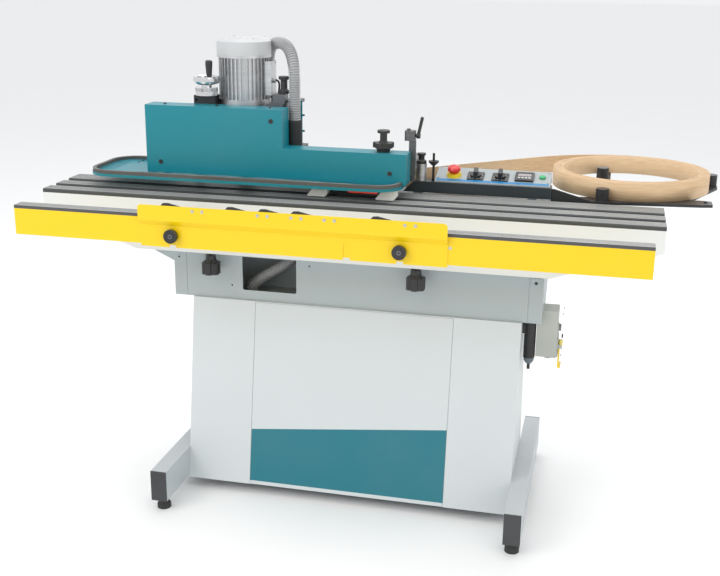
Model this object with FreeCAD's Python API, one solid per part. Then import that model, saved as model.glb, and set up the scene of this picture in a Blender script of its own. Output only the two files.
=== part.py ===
import FreeCAD, Part
import os
from math import atan2, cos, degrees, pi, radians, sin

from FreeCAD import Vector

# Edge banding machine, modelled in millimetres.
# Working frame: X runs along the machine, Y points from the operator to the
# back, Z is up.  X = 0 is the middle of the table, Y = 0 its front edge and
# Z = 0 the floor.  Every sub-part is moved to the frame centre on export.

# ---------------------------------------------------------------- driving sizes
TABLE_TOP = 900.0
TABLE_LENGTH = 1752.0
TABLE_DEPTH = 230.0
STRIP_WIDTHS = (50.0, 50.0, 74.0)
STRIP_GAP = 28.0
STRIP_THICK = 11.0
SHEET = 2.5
THIN_SHEET = 2.0

BED_END_BOTTOM = 828.0
BED_KNEE_BOTTOM = 750.0
BED_KNEE_X = 620.0
BED_FLAT_BOTTOM = 740.0
BED_FLAT_X = 592.0

BOX_LEFT, BOX_RIGHT = -514.0, 571.0
BOX_FRONT, BOX_BACK = 90.0, 230.0
BOX_BOTTOM = 581.0

CABINET_LEFT, CABINET_RIGHT = -454.0, 517.0
CABINET_TOP_FRONT = 83.0
CABINET_BOTTOM_FRONT = -4.0
CABINET_TOP_BACK = 235.0
CABINET_BOTTOM_BACK = 322.0
CABINET_BOTTOM = 30.0
PANEL_LEFT, PANEL_RIGHT = -260.0, 325.0

FOOT_FRONT, FOOT_BACK = -175.0, 487.0
FOOT_WIDTH, FOOT_LOW, FOOT_HIGH = 47.0, 35.0, 127.0
FOOT_WALL = 3.0
LEVELLER_INSET = 31.0

BAR_HALF_LENGTH = 842.5
BAR_FRONT, BAR_BACK = -217.0, -176.0
BAR_LOW, BAR_HIGH = 819.0, 891.0
ARM_X = (-382.0, 221.0)
ARM_SIZE = 30.0
ARM_Z = 840.0
ARM_END = 60.0
ARM_KNOB_Y = 46.0

STOP_LEFT, STOP_RIGHT = -474.0, 346.0
STOP_LIP_FRONT = -234.0
STOP_BOTTOM, STOP_TOP = 813.0, 928.0
PLATE_KNOB_X = (-385.0, 225.0)
PLATE_SLOT_X = (-385.0, 87.0, 225.0)
PLATE_KNOB_Z = 846.0
FINGER_TIPS = (-410.0, -233.0, -144.0, -57.0, 150.0)

HOOD_LEFT, HOOD_STEP, HOOD_RIGHT = -604.0, -189.0, 171.0
HOOD_FRONT, HOOD_DEPTH = 130.0, 65.0
HOOD_BOTTOM, HOOD_LOW_TOP, HOOD_HIGH_TOP = 941.0, 1028.0, 1137.0
PLATE_THICK = 10.0
FRAME_BACK = 430.0

GUARD_LEFT, GUARD_RIGHT = -775.0, 162.0
GUARD_FRONT, GUARD_BACK = 60.0, 321.0
GUARD_TOP, GUARD_THICK = 940.0, 4.0
GUARD_CORNER = 75.0

MOTOR_X, MOTOR_Y = -351.0, 285.0
MOTOR_CORE, MOTOR_FIN_TIP, MOTOR_RIM = 66.0, 75.0, 80.0
MOTOR_FIN_TOP, MOTOR_TOP, COWL_TOP = 1268.0, 1276.0, 1322.0
FIN_COUNT = 36
TERMINAL_RIGHT = -262.0
GLAND_Y, GLAND_Z, GLAND_LENGTH = 287.0, 1202.0, 8.0

WHEEL_X, WHEEL_Y = -444.0, 214.0
COLUMN_Y = 330.0
COLUMN_X = (-520.0, -60.0)
COLUMN_TOP = (1118.0, 985.0)
BOSS_RADIUS = 30.0
SHELF_LOW, SHELF_HIGH = 1085.0, 1095.0
REAR_PLATE_LOW, REAR_PLATE_HIGH = 973.0, 983.0
WEB_LEFT, WEB_RIGHT = -230.0, -220.0
COLUMN_RADIUS = 18.0
SLIDE_FIT = 0.05

CONSOLE_LEFT, CONSOLE_RIGHT = 140.0, 566.0
CONSOLE_FRONT, CONSOLE_BACK = 250.0, 300.0
CONSOLE_LOW, CONSOLE_HIGH = 900.0, 932.0
DESK_LEFT, DESK_RIGHT = 231.0, 562.0
DESK_FRONT, DESK_BACK = 257.0, 345.0
DESK_FRONT_TOP, DESK_BACK_TOP = 935.0, 960.0
STOP_BUTTON_X = 282.5
SWITCH_X = (346.0, 417.0)
DESK_ITEM_Y = 296.0
SWITCH_PLATE = 48.0
DISPLAY_X, DISPLAY_Y = 486.0, 303.0

COIL_X, COIL_Y = 784.0, 508.5
COIL_RADIUS, COIL_BORE = 228.5, 198.0
COIL_LOW, COIL_HEIGHT = 901.0, 53.0
POST_RADIUS, POST_HEIGHT = 18.0, 35.0
TAPE_THICK = 1.0
TAPE_BOW = 420.0
TAPE_TURN = 41.7
TAPE_LINE_Y = 235.5
TAPE_SWEEP = 200.0
TAPE_END_X = -100.0

ROLLER_X, ROLLER_RADIUS = -100.0, 28.0
BRIDGE_TOP = 888.0
BRIDGE_LEFT = -600.0

HOSE_RADIUS, HOSE_WALL = 17.5, 2.0
HOSE_X, HOSE_Y = -176.6, 218.0

ELECTRIC_LEFT, ELECTRIC_RIGHT = 557.0, 615.0
ELECTRIC_FRONT, ELECTRIC_BACK = 120.0, 190.0
ELECTRIC_LOW, ELECTRIC_HIGH = 474.0, 611.0
SWITCH_FACE = ELECTRIC_RIGHT + 3.0
FLAP_Y, FLAP_Z = 155.0, 505.0
FLAP_WIDTH, FLAP_LENGTH = 44.0, 65.0
HINGE_RADIUS, HINGE_PIN = 6.0, 2.5
HINGE_X = SWITCH_FACE + HINGE_RADIUS + 0.3
START_Y, START_Z = 140.0, 560.0
START_RADIUS, START_DEPTH = 10.0, 10.0
FILTER_X, FILTER_Y = 539.0, 128.0

COIL_ARM_RIGHT, COIL_ARM_BACK = 1042.0, 771.0
KNOB_FRONT = BAR_FRONT - 19.2
FRAME_X = (COIL_ARM_RIGHT - TABLE_LENGTH / 2) / 2
FRAME_Y = (KNOB_FRONT + COIL_ARM_BACK) / 2

UP = Vector(0, 0, 1)
RIGHT = Vector(1, 0, 0)
BACKWARD = Vector(0, 1, 0)


# ---------------------------------------------------------------- basic shapes
def box(x0, x1, y0, y1, z0, z1):
    """A block between two corners."""
    return Part.makeBox(x1 - x0, y1 - y0, z1 - z0, Vector(x0, y0, z0))


def rod(x, y, z0, z1, radius):
    """An upright cylinder."""
    return Part.makeCylinder(radius, z1 - z0, Vector(x, y, z0), UP)


def rod_along_y(x, z, y0, y1, radius):
    """A cylinder lying along Y."""
    return Part.makeCylinder(radius, y1 - y0, Vector(x, y0, z), BACKWARD)


def rod_along_x(y, z, x0, x1, radius):
    """A cylinder lying along X."""
    return Part.makeCylinder(radius, x1 - x0, Vector(x0, y, z), RIGHT)


def tube(x, y, z0, z1, outer, inner):
    """An upright pipe."""
    return rod(x, y, z0, z1, outer).cut(rod(x, y, z0, z1, inner))


def extrude(points, direction):
    """A straight-edged outline pushed along a direction."""
    corners = list(points) + [points[0]]
    return Part.Face(Part.makePolygon(corners)).extrude(direction)


def front_outline(points, y0, y1):
    """An outline drawn in X and Z, pushed along Y."""
    corners = [Vector(x, y0, z) for x, z in points]
    return extrude(corners, Vector(0, y1 - y0, 0))


def side_outline(points, x0, x1):
    """An outline drawn in Y and Z, pushed along X."""
    corners = [Vector(x0, y, z) for y, z in points]
    return extrude(corners, Vector(x1 - x0, 0, 0))


def plan_outline(points, z0, z1):
    """An outline drawn in X and Y, pushed up."""
    corners = [Vector(x, y, z0) for x, y in points]
    return extrude(corners, Vector(0, 0, z1 - z0))


def turned(profile, x, y):
    """A profile of (radius, z) points turned about an upright axis."""
    corners = [Vector(x + radius, y, z) for radius, z in profile]
    face = Part.Face(Part.makePolygon(corners + [corners[0]]))
    return face.revolve(Vector(x, y, 0), UP, 360)


def rounded_plate(x0, x1, y0, y1, z0, z1, radius):
    """A block with rounded upright edges."""
    block = box(x0, x1, y0, y1, z0, z1)
    upright = [edge for edge in block.Edges
               if abs(edge.Vertexes[0].Z - edge.Vertexes[-1].Z) > (z1 - z0) / 2]
    return block.makeFillet(radius, upright)


def fuse(shapes):
    """One solid out of touching pieces."""
    result = shapes[0]
    for shape in shapes[1:]:
        result = result.fuse(shape)
    return result.removeSplitter()


def group(shapes):
    """Separate solids kept together."""
    return Part.makeCompound(shapes)


def lobed_knob(x, y, z0, z1, radius, lobes, scallop):
    """A grip cylinder with scallops cut round its rim."""
    body = rod(x, y, z0, z1, radius)
    reach = radius + scallop * 0.45
    cutters = [rod(x + reach * cos(2 * pi * n / lobes),
                   y + reach * sin(2 * pi * n / lobes), z0, z1, scallop)
               for n in range(lobes)]
    for cutter in cutters:
        body = body.cut(cutter)
    return body


def at_desk(shape, x, y):
    """Place a shape built about the origin onto the sloping desk top."""
    slope = desk_slope()
    height = DESK_FRONT_TOP + (y - DESK_FRONT) * (DESK_BACK_TOP - DESK_FRONT_TOP) / (
        DESK_BACK - DESK_FRONT)
    placed = shape.copy()
    placed.rotate(Vector(0, 0, 0), RIGHT, slope)
    placed.translate(Vector(x, y, height))
    return placed


def desk_slope():
    """Slope of the desk top in degrees."""
    rise = DESK_BACK_TOP - DESK_FRONT_TOP
    return degrees(atan2(rise, DESK_BACK - DESK_FRONT))


def cabinet_front(z):
    """Y of the sloping cabinet front at a height."""
    share = (BOX_BOTTOM - z) / (BOX_BOTTOM - CABINET_BOTTOM)
    return CABINET_TOP_FRONT + share * (CABINET_BOTTOM_FRONT - CABINET_TOP_FRONT)


def cabinet_back(z):
    """Y of the sloping cabinet back at a height."""
    share = (BOX_BOTTOM - z) / (BOX_BOTTOM - CABINET_BOTTOM)
    return CABINET_TOP_BACK + share * (CABINET_BOTTOM_BACK - CABINET_TOP_BACK)


# ---------------------------------------------------------------- the stand
def foot_x():
    """Left edges of the two foot beams."""
    return (CABINET_LEFT - FOOT_WIDTH, CABINET_RIGHT)


def foot_beams():
    """Two rectangular tubes that run front to back under the cabinet sides."""
    beams = []
    hole_ys = (16.0, 180.0)
    hole_zs = (62.0, 106.0)
    hole_radius = 5.0
    hole_length = 8.0
    for x in foot_x():
        outer = box(x, x + FOOT_WIDTH, FOOT_FRONT, FOOT_BACK, FOOT_LOW, FOOT_HIGH)
        inner = box(x + FOOT_WALL, x + FOOT_WIDTH - FOOT_WALL, FOOT_FRONT, FOOT_BACK,
                    FOOT_LOW + FOOT_WALL, FOOT_HIGH - FOOT_WALL)
        beam = outer.cut(inner)
        outside = x if x < 0 else x + FOOT_WIDTH - FOOT_WALL
        for y in hole_ys:
            for z in hole_zs:
                slot = fuse([
                    rod_along_x(y - hole_length / 2, z, outside, outside + FOOT_WALL, hole_radius),
                    rod_along_x(y + hole_length / 2, z, outside, outside + FOOT_WALL, hole_radius),
                    box(outside, outside + FOOT_WALL, y - hole_length / 2, y + hole_length / 2,
                        z - hole_radius, z + hole_radius)])
                beam = beam.cut(slot)
        beams.append(beam)
    return group(beams)


def foot_end_caps():
    """Plastic caps that close the four beam ends."""
    flange = 4.0
    plug = 18.0
    caps = []
    for x in foot_x():
        for end, inward in ((FOOT_FRONT, 1), (FOOT_BACK, -1)):
            face = box(x, x + FOOT_WIDTH, min(end, end - flange * inward),
                       max(end, end - flange * inward), FOOT_LOW, FOOT_HIGH)
            stub = box(x + FOOT_WALL, x + FOOT_WIDTH - FOOT_WALL,
                       min(end, end + plug * inward), max(end, end + plug * inward),
                       FOOT_LOW + FOOT_WALL, FOOT_HIGH - FOOT_WALL)
            caps.append(face.fuse(stub).removeSplitter())
    return group(caps)


def leveller_places():
    """Centres of the four levelling feet."""
    return [(x + FOOT_WIDTH / 2, y) for x in foot_x()
            for y in (FOOT_FRONT + LEVELLER_INSET, FOOT_BACK - LEVELLER_INSET)]


def levelling_feet():
    """Round pads on short screws, each with a nut under the beam."""
    pad_profile = ((0, 0), (20, 0), (20, 12), (17, 17), (9, 21), (9, 27), (0, 27))
    feet = []
    for x, y in leveller_places():
        pad = turned(pad_profile, x, y)
        nut = rod(x, y, 27, FOOT_LOW, 11)
        feet.append(pad.fuse(nut).removeSplitter())
    return group(feet)


def cabinet_shell():
    """Sheet cabinet, wider at the foot, with an opening for the front panel."""
    def wedge(inset, left, right):
        low = CABINET_BOTTOM
        high = BOX_BOTTOM - inset
        return side_outline(((cabinet_front(low) + inset, low),
                             (cabinet_back(low) - inset, low),
                             (cabinet_back(high) - inset, high),
                             (cabinet_front(high) + inset, high)), left, right)

    shell = wedge(0, CABINET_LEFT, CABINET_RIGHT).cut(
        wedge(THIN_SHEET, CABINET_LEFT + THIN_SHEET, CABINET_RIGHT - THIN_SHEET))
    gap = 1.5
    opening = front_slab(PANEL_LEFT - gap, PANEL_RIGHT + gap, CABINET_BOTTOM,
                         BOX_BOTTOM - THIN_SHEET, -1, THIN_SHEET)
    shell = shell.cut(opening)
    ledge = 22.0
    frame = front_slab(PANEL_LEFT - ledge, PANEL_RIGHT + ledge, CABINET_BOTTOM,
                       BOX_BOTTOM - THIN_SHEET, THIN_SHEET, 2 * THIN_SHEET)
    frame = frame.cut(front_slab(PANEL_LEFT + ledge, PANEL_RIGHT - ledge,
                                 CABINET_BOTTOM + ledge, BOX_BOTTOM - ledge,
                                 THIN_SHEET - 1, 2 * THIN_SHEET + 1))
    hose_hole = rod(-300.0, 160.0, BOX_BOTTOM - 5, BOX_BOTTOM + 5, 24)
    return fuse([shell, frame]).cut(hose_hole)


def front_slab(x0, x1, z0, z1, depth0, depth1):
    """A slab that follows the sloping cabinet front."""
    return side_outline(((cabinet_front(z0) + depth0, z0),
                         (cabinet_front(z0) + depth1, z0),
                         (cabinet_front(z1) + depth1, z1),
                         (cabinet_front(z1) + depth0, z1)), x0, x1)


def cabinet_front_panel():
    """Flat sheet panel let into the middle of the cabinet front."""
    return front_slab(PANEL_LEFT, PANEL_RIGHT, CABINET_BOTTOM + 1.5,
                      BOX_BOTTOM - THIN_SHEET - 1.5, 0, THIN_SHEET)


def upper_box():
    """Open-topped sheet box between cabinet and table, with a front window."""
    top = BED_FLAT_BOTTOM
    body = box(BOX_LEFT, BOX_RIGHT, BOX_FRONT, BOX_BACK, BOX_BOTTOM, top)
    body = body.cut(box(BOX_LEFT + SHEET, BOX_RIGHT - SHEET, BOX_FRONT + SHEET,
                        BOX_BACK - SHEET, BOX_BOTTOM + SHEET, top))
    window = box(-302, -138, BOX_FRONT, BOX_FRONT + SHEET, 611, 712)
    low_edges = [edge for edge in window.Edges
                 if abs(edge.CenterOfMass.z - 611) < 0.1
                 and abs(edge.Vertexes[0].Y - edge.Vertexes[-1].Y) > 1]
    window = window.makeFillet(6, low_edges)
    body = body.cut(window)
    for x, z in ((-498.6, 698.0), (-98.0, 698.0), (-334.7, 623.2)):
        body = body.cut(rod_along_y(x, z, BOX_FRONT, BOX_FRONT + SHEET, 2.6))
    groove = 1.2
    for x in (-475.0, 531.5):
        body = body.cut(box(x - groove / 2, x + groove / 2, BOX_FRONT, BOX_FRONT + groove,
                            BOX_BOTTOM, top))
    gusset = front_outline(((BOX_LEFT, 685), (BOX_LEFT, top), (-590, top), (-590, 720)),
                           BOX_FRONT, BOX_FRONT + SHEET)
    tab = box(537, 564, BOX_FRONT - SHEET, BOX_FRONT, 689, 711)
    tab = tab.cut(rod_along_y(550.8, 699, BOX_FRONT - SHEET, BOX_FRONT, 2.6))
    hose_hole = rod(-300, 160, BOX_BOTTOM, BOX_BOTTOM + SHEET, HOSE_RADIUS)
    return fuse([body, gusset, tab]).cut(hose_hole)


def window_hose():
    """Grey hose that crosses the window from the table down into the cabinet."""
    lower = Vector(-300, 160, BOX_BOTTOM - 30)
    lower_bend = Vector(-300, 160, 600)
    upper_bend = Vector(-150, 160, 725)
    upper = Vector(-150, 160, 790)
    path = smooth_path([lower, lower_bend, upper_bend, upper], 30)
    return hose_along(path, HOSE_RADIUS, HOSE_WALL)


def smooth_path(points, radius):
    """Straight runs joined by round bends of one radius."""
    edges = []
    start = points[0]
    for before, corner, after in zip(points, points[1:], points[2:]):
        incoming = (corner - before).normalize()
        outgoing = (after - corner).normalize()
        turn = incoming.getAngle(outgoing)
        setback = radius * sin(turn / 2) / cos(turn / 2)
        first = corner - incoming * setback
        last = corner + outgoing * setback
        inward = (outgoing - incoming).normalize()
        middle = corner + inward * (radius / cos(turn / 2) - radius)
        edges.append(Part.LineSegment(start, first).toShape())
        edges.append(Part.Arc(first, middle, last).toShape())
        start = last
    edges.append(Part.LineSegment(start, points[-1]).toShape())
    return Part.Wire(edges)


def hose_along(path, radius, wall):
    """A hose swept along a path."""
    start = path.Edges[0].Vertexes[0].Point
    heading = path.Edges[0].tangentAt(path.Edges[0].FirstParameter)
    rings = []
    for ring_radius in (radius, radius - wall):
        ring = Part.Wire([Part.makeCircle(ring_radius, start, heading)])
        rings.append(path.makePipeShell([ring], True, True))
    return Part.Solid(rings[0].Shells[0]).cut(Part.Solid(rings[1].Shells[0]))


# ---------------------------------------------------------------- the table
def bed_profile(inset):
    """Front outline of the table bed, deeper in the middle."""
    half = TABLE_LENGTH / 2 - inset
    top = TABLE_TOP - STRIP_THICK - inset
    return ((-half, top), (-half, BED_END_BOTTOM + inset),
            (-BED_KNEE_X, BED_KNEE_BOTTOM + inset), (-BED_FLAT_X, BED_FLAT_BOTTOM + inset),
            (BED_FLAT_X, BED_FLAT_BOTTOM + inset), (BED_KNEE_X, BED_KNEE_BOTTOM + inset),
            (half, BED_END_BOTTOM + inset), (half, top))


def table_bed():
    """Folded sheet bed under the strips, open underneath over the box."""
    bed = front_outline(bed_profile(0), 0, TABLE_DEPTH)
    bed = bed.cut(front_outline(bed_profile(SHEET), SHEET, TABLE_DEPTH - SHEET))
    bed = bed.cut(box(BOX_LEFT + 20, BOX_RIGHT - 20, 110, 212,
                      BED_FLAT_BOTTOM, BED_FLAT_BOTTOM + SHEET))
    clearance = ARM_SIZE / 2 + 3
    for x in ARM_X:
        bed = bed.cut(box(x - clearance, x + clearance, 0, SHEET,
                          ARM_Z - clearance, ARM_Z + clearance))
        bed = bed.cut(rod(x, ARM_KNOB_Y, BED_FLAT_BOTTOM, BED_FLAT_BOTTOM + SHEET, 8))
    return bed


def table_strips():
    """Grooved lengthwise support strips with open gaps between them."""
    strips = []
    front = 0.0
    for width in STRIP_WIDTHS:
        strips.append(grooved_strip(front, width))
        front += width + STRIP_GAP
    return group(strips)


def grooved_strip(front, width):
    """One support strip: bevelled front edge and fine grooves along its top."""
    groove_width = 3.0
    groove_depth = 1.6
    front_bevel = 3.0
    back_bevel = 1.5
    land_width = 7.0
    groove_count = int((width - 2 * front_bevel) // (land_width + groove_width))
    land = (width - 2 * front_bevel - groove_count * groove_width) / (groove_count + 1)
    bottom = TABLE_TOP - STRIP_THICK
    back = front + width
    points = [(front, bottom), (front, TABLE_TOP - front_bevel), (front + front_bevel, TABLE_TOP)]
    for n in range(groove_count):
        start = front + front_bevel + land + n * (land + groove_width)
        points.append((start, TABLE_TOP))
        points.append((start + groove_width / 2, TABLE_TOP - groove_depth))
        points.append((start + groove_width, TABLE_TOP))
    points.append((back - back_bevel, TABLE_TOP))
    points.append((back, TABLE_TOP - back_bevel))
    points.append((back, bottom))
    half = TABLE_LENGTH / 2
    return side_outline(points, -half, half)


def rear_bridge():
    """Box beam behind the bed that carries the head, the desk and the coil arms."""
    wall = 3.0
    low = 800.0
    beam = box(BRIDGE_LEFT, BOX_RIGHT, TABLE_DEPTH, FRAME_BACK, low, BRIDGE_TOP)
    beam = beam.cut(box(BRIDGE_LEFT + wall, BOX_RIGHT - wall, TABLE_DEPTH + wall,
                        FRAME_BACK - wall, low, BRIDGE_TOP - wall))
    cheek = 8.0
    cheek_points = ((TABLE_DEPTH, BOX_BOTTOM), (TABLE_DEPTH, low), (FRAME_BACK - 40, low))
    left_cheek = side_outline(cheek_points, BOX_LEFT, BOX_LEFT + cheek)
    right_cheek = side_outline(cheek_points, BOX_RIGHT - cheek, BOX_RIGHT)
    tape_rail = box(-60, 40, TABLE_DEPTH + 2, 262, BRIDGE_TOP, COIL_LOW)
    desk_feet = [box(x, x + 24, CONSOLE_FRONT + 8, CONSOLE_BACK - 6, BRIDGE_TOP, CONSOLE_LOW)
                 for x in (170.0, 500.0)]
    pin_hole = rod(ROLLER_X, roller_y(), BRIDGE_TOP - wall, BRIDGE_TOP, 6 + SLIDE_FIT)
    return fuse([beam, left_cheek, right_cheek, tape_rail] + desk_feet).cut(pin_hole)


def arm_guides():
    """Square sleeves inside the bed that guide the two support arms."""
    wall = 6.0
    clearance = 0.2
    length = 120.0
    inner = ARM_SIZE / 2 + clearance
    outer = inner + wall
    guides = []
    for x in ARM_X:
        sleeve = box(x - outer, x + outer, SHEET, SHEET + length, ARM_Z - outer, ARM_Z + outer)
        leg = box(x - outer, x + outer, 70, SHEET + length,
                  BED_FLAT_BOTTOM + SHEET, ARM_Z - outer)
        guide = sleeve.fuse(leg).removeSplitter()
        guide = guide.cut(box(x - inner, x + inner, SHEET, SHEET + length,
                              ARM_Z - inner, ARM_Z + inner))
        guide = guide.cut(rod(x, ARM_KNOB_Y, ARM_Z - outer, ARM_Z, 6 + SLIDE_FIT))
        guides.append(guide)
    return group(guides)


# ---------------------------------------------------------------- the support bar
def support_bar():
    """Square-cornered bar that carries the far edge of a panel."""
    wall = 3.0
    bar = box(-BAR_HALF_LENGTH, BAR_HALF_LENGTH, BAR_FRONT, BAR_BACK, BAR_LOW, BAR_HIGH)
    bar = bar.cut(box(-BAR_HALF_LENGTH + wall, BAR_HALF_LENGTH - wall, BAR_FRONT + wall,
                      BAR_BACK - wall, BAR_LOW + wall, BAR_HIGH - wall))
    for x in PLATE_KNOB_X:
        bar = bar.cut(rod_along_y(x, PLATE_KNOB_Z, BAR_FRONT, BAR_FRONT + wall, 4 + SLIDE_FIT))
    return bar


def bar_strip():
    """Dark support strip along the top of the bar."""
    strip = box(-BAR_HALF_LENGTH, BAR_HALF_LENGTH, BAR_FRONT, BAR_BACK, BAR_HIGH, TABLE_TOP)
    groove_width = 3.0
    groove_depth = 1.6
    for n in range(4):
        middle = BAR_FRONT + (n + 1) * (BAR_BACK - BAR_FRONT) / 5
        groove = side_outline(((middle - groove_width / 2, TABLE_TOP),
                               (middle, TABLE_TOP - groove_depth),
                               (middle + groove_width / 2, TABLE_TOP)),
                              -BAR_HALF_LENGTH, BAR_HALF_LENGTH)
        strip = strip.cut(groove)
    return strip


def support_arms():
    """Two square tubes that carry the bar and slide in the bed."""
    half = ARM_SIZE / 2
    wall = 2.5
    arms = []
    for x in ARM_X:
        arm = box(x - half, x + half, BAR_BACK, ARM_END, ARM_Z - half, ARM_Z + half)
        arm = arm.cut(box(x - half + wall, x + half - wall, BAR_BACK, ARM_END,
                          ARM_Z - half + wall, ARM_Z + half - wall))
        arms.append(arm)
    return group(arms)


def arm_knob(x):
    """Star knob on a screw that clamps one support arm from below."""
    grip = lobed_knob(x, ARM_KNOB_Y, 668, 702, 27, 6, 8)
    neck = turned(((0, 702), (20, 702), (15, 712), (15, 724), (0, 724)), x, ARM_KNOB_Y)
    screw = rod(x, ARM_KNOB_Y, 724, ARM_Z - ARM_SIZE / 2 - 0.3, 6)
    return fuse([grip, neck, screw])


def stop_plate():
    """Joggled sheet with a raised lip that hooks over studs on the bar."""
    sheet = 2.0
    back = BAR_FRONT
    front = STOP_LIP_FRONT
    knee_low = 872.0
    knee_high = 888.0
    profile = ((back - sheet, STOP_BOTTOM), (back, STOP_BOTTOM), (back, knee_low),
               (front + sheet, knee_high), (front + sheet, STOP_TOP),
               (front, STOP_TOP), (front, knee_high - 0.8), (back - sheet, knee_low - 0.8))
    plate = side_outline(profile, STOP_LEFT, STOP_RIGHT)
    corner = 10.0
    for x, inward in ((STOP_LEFT, 1), (STOP_RIGHT, -1)):
        square = box(min(x, x + corner * inward), max(x, x + corner * inward),
                     front, front + sheet, STOP_TOP - corner, STOP_TOP)
        round_part = rod_along_y(x + corner * inward, STOP_TOP - corner, front,
                                 front + sheet, corner)
        plate = plate.cut(square.cut(round_part))
    slot_half = 9.0
    slot_top = 858.0
    for x in PLATE_SLOT_X:
        slot = box(x - slot_half, x + slot_half, back - sheet, back,
                   STOP_BOTTOM, slot_top - slot_half)
        slot = slot.fuse(rod_along_y(x, slot_top - slot_half, back - sheet, back, slot_half))
        plate = plate.cut(slot)
    for tip in FINGER_TIPS:
        for offset in finger_screw_offsets():
            plate = plate.cut(rod_along_y(tip + offset, finger_screw_z(), front,
                                          front + sheet, 2.5))
    return plate


def finger_screw_offsets():
    """Distances from a finger's tip to its two screws."""
    return (89.0, 115.5)


def finger_screw_z():
    """Height of the finger screws."""
    return 917.5


def stop_fingers():
    """Springy dark fingers behind the lip, free at their left ends."""
    back_of_lip = STOP_LIP_FRONT + 2.0
    thick = 5.0
    fingers = []
    for tip in FINGER_TIPS:
        outline = ((tip, 903), (tip, 927), (tip + 7, 934), (tip + 20, 935),
                   (tip + 60, 926), (tip + 130, 924), (tip + 130, 903))
        finger = front_outline(outline, back_of_lip, back_of_lip + thick)
        for offset in finger_screw_offsets():
            finger = finger.cut(rod_along_y(tip + offset, finger_screw_z(), back_of_lip,
                                            back_of_lip + thick, 2.5))
        fingers.append(finger)
    return group(fingers)


def plate_knob(x):
    """Round clamping knob on a stud through the stop plate."""
    face = BAR_FRONT - 2.2
    z = PLATE_KNOB_Z
    grip = rod_along_y(x, z, face - 17, face - 4, 18.5)
    grip = grip.makeFillet(3, [grip.Edges[0]])
    washer = rod_along_y(x, z, face - 4, face, 12)
    stud = rod_along_y(x, z, face, BAR_FRONT + 18, 4)
    return fuse([grip, washer, stud])


# ---------------------------------------------------------------- the head
def hood_profile(inset):
    """Stepped front outline of the hood."""
    return ((HOOD_LEFT + inset, HOOD_BOTTOM), (HOOD_RIGHT - inset, HOOD_BOTTOM),
            (HOOD_RIGHT - inset, HOOD_LOW_TOP - inset),
            (HOOD_STEP - inset, HOOD_LOW_TOP - inset),
            (HOOD_STEP - inset, HOOD_HIGH_TOP - inset),
            (HOOD_LEFT + inset, HOOD_HIGH_TOP - inset))


def hood_cover():
    """Stepped sheet hood with folded top and end flanges, open at the back."""
    back = HOOD_FRONT + HOOD_DEPTH
    hood = front_outline(hood_profile(0), HOOD_FRONT, back)
    hood = hood.cut(front_outline(hood_profile(SHEET), HOOD_FRONT + SHEET, back))
    for x, y in (adjuster_place(),):
        hood = hood.cut(rod(x, y, HOOD_LOW_TOP - SHEET, HOOD_LOW_TOP, 5 + SLIDE_FIT))
    return hood


def adjuster_place():
    """Centre of the star adjusting knob on the low part of the head."""
    return (98.0, 165.0)


def head_frame():
    """Steel plates, web, bosses and brackets inside and behind the hood."""
    top = HOOD_HIGH_TOP - SHEET
    low_top = HOOD_LOW_TOP - SHEET
    sleeve_low, sleeve_radius, shaft_room = 960.0, 25.0, 12.0
    left_boss_low, right_boss_low = 1020.0, 912.0
    spindle_room = 10.0
    left_boss = rod(COLUMN_X[0], COLUMN_Y, left_boss_low, SHELF_LOW, BOSS_RADIUS)
    right_boss = rod(COLUMN_X[1], COLUMN_Y, right_boss_low, REAR_PLATE_LOW, BOSS_RADIUS)
    sleeve = rod(MOTOR_X, MOTOR_Y, sleeve_low, top - PLATE_THICK, sleeve_radius)
    frame = fuse(frame_plates() + [left_boss, right_boss, sleeve] + limit_stand()
                 + lever_bracket() + frame_hangers())
    bore = COLUMN_RADIUS + SLIDE_FIT
    frame = frame.cut(rod(COLUMN_X[0], COLUMN_Y, left_boss_low, SHELF_HIGH, bore))
    frame = frame.cut(rod(COLUMN_X[1], COLUMN_Y, right_boss_low, REAR_PLATE_HIGH, bore))
    frame = frame.cut(rod(MOTOR_X, MOTOR_Y, sleeve_low, top, shaft_room))
    frame = frame.cut(rod(WHEEL_X, WHEEL_Y, SHELF_LOW, top, spindle_room))
    x, y = adjuster_place()
    frame = frame.cut(rod(x, y, low_top - PLATE_THICK, low_top, 5 + SLIDE_FIT))
    x, y = limit_knob_place()
    frame = frame.cut(rod(x, y, top + 5, top + 36, 4 + SLIDE_FIT))
    pivot_y, pivot_z = lever_pivot()
    return frame.cut(rod_along_x(pivot_y, pivot_z, 165, 183, 4 + SLIDE_FIT))


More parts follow.
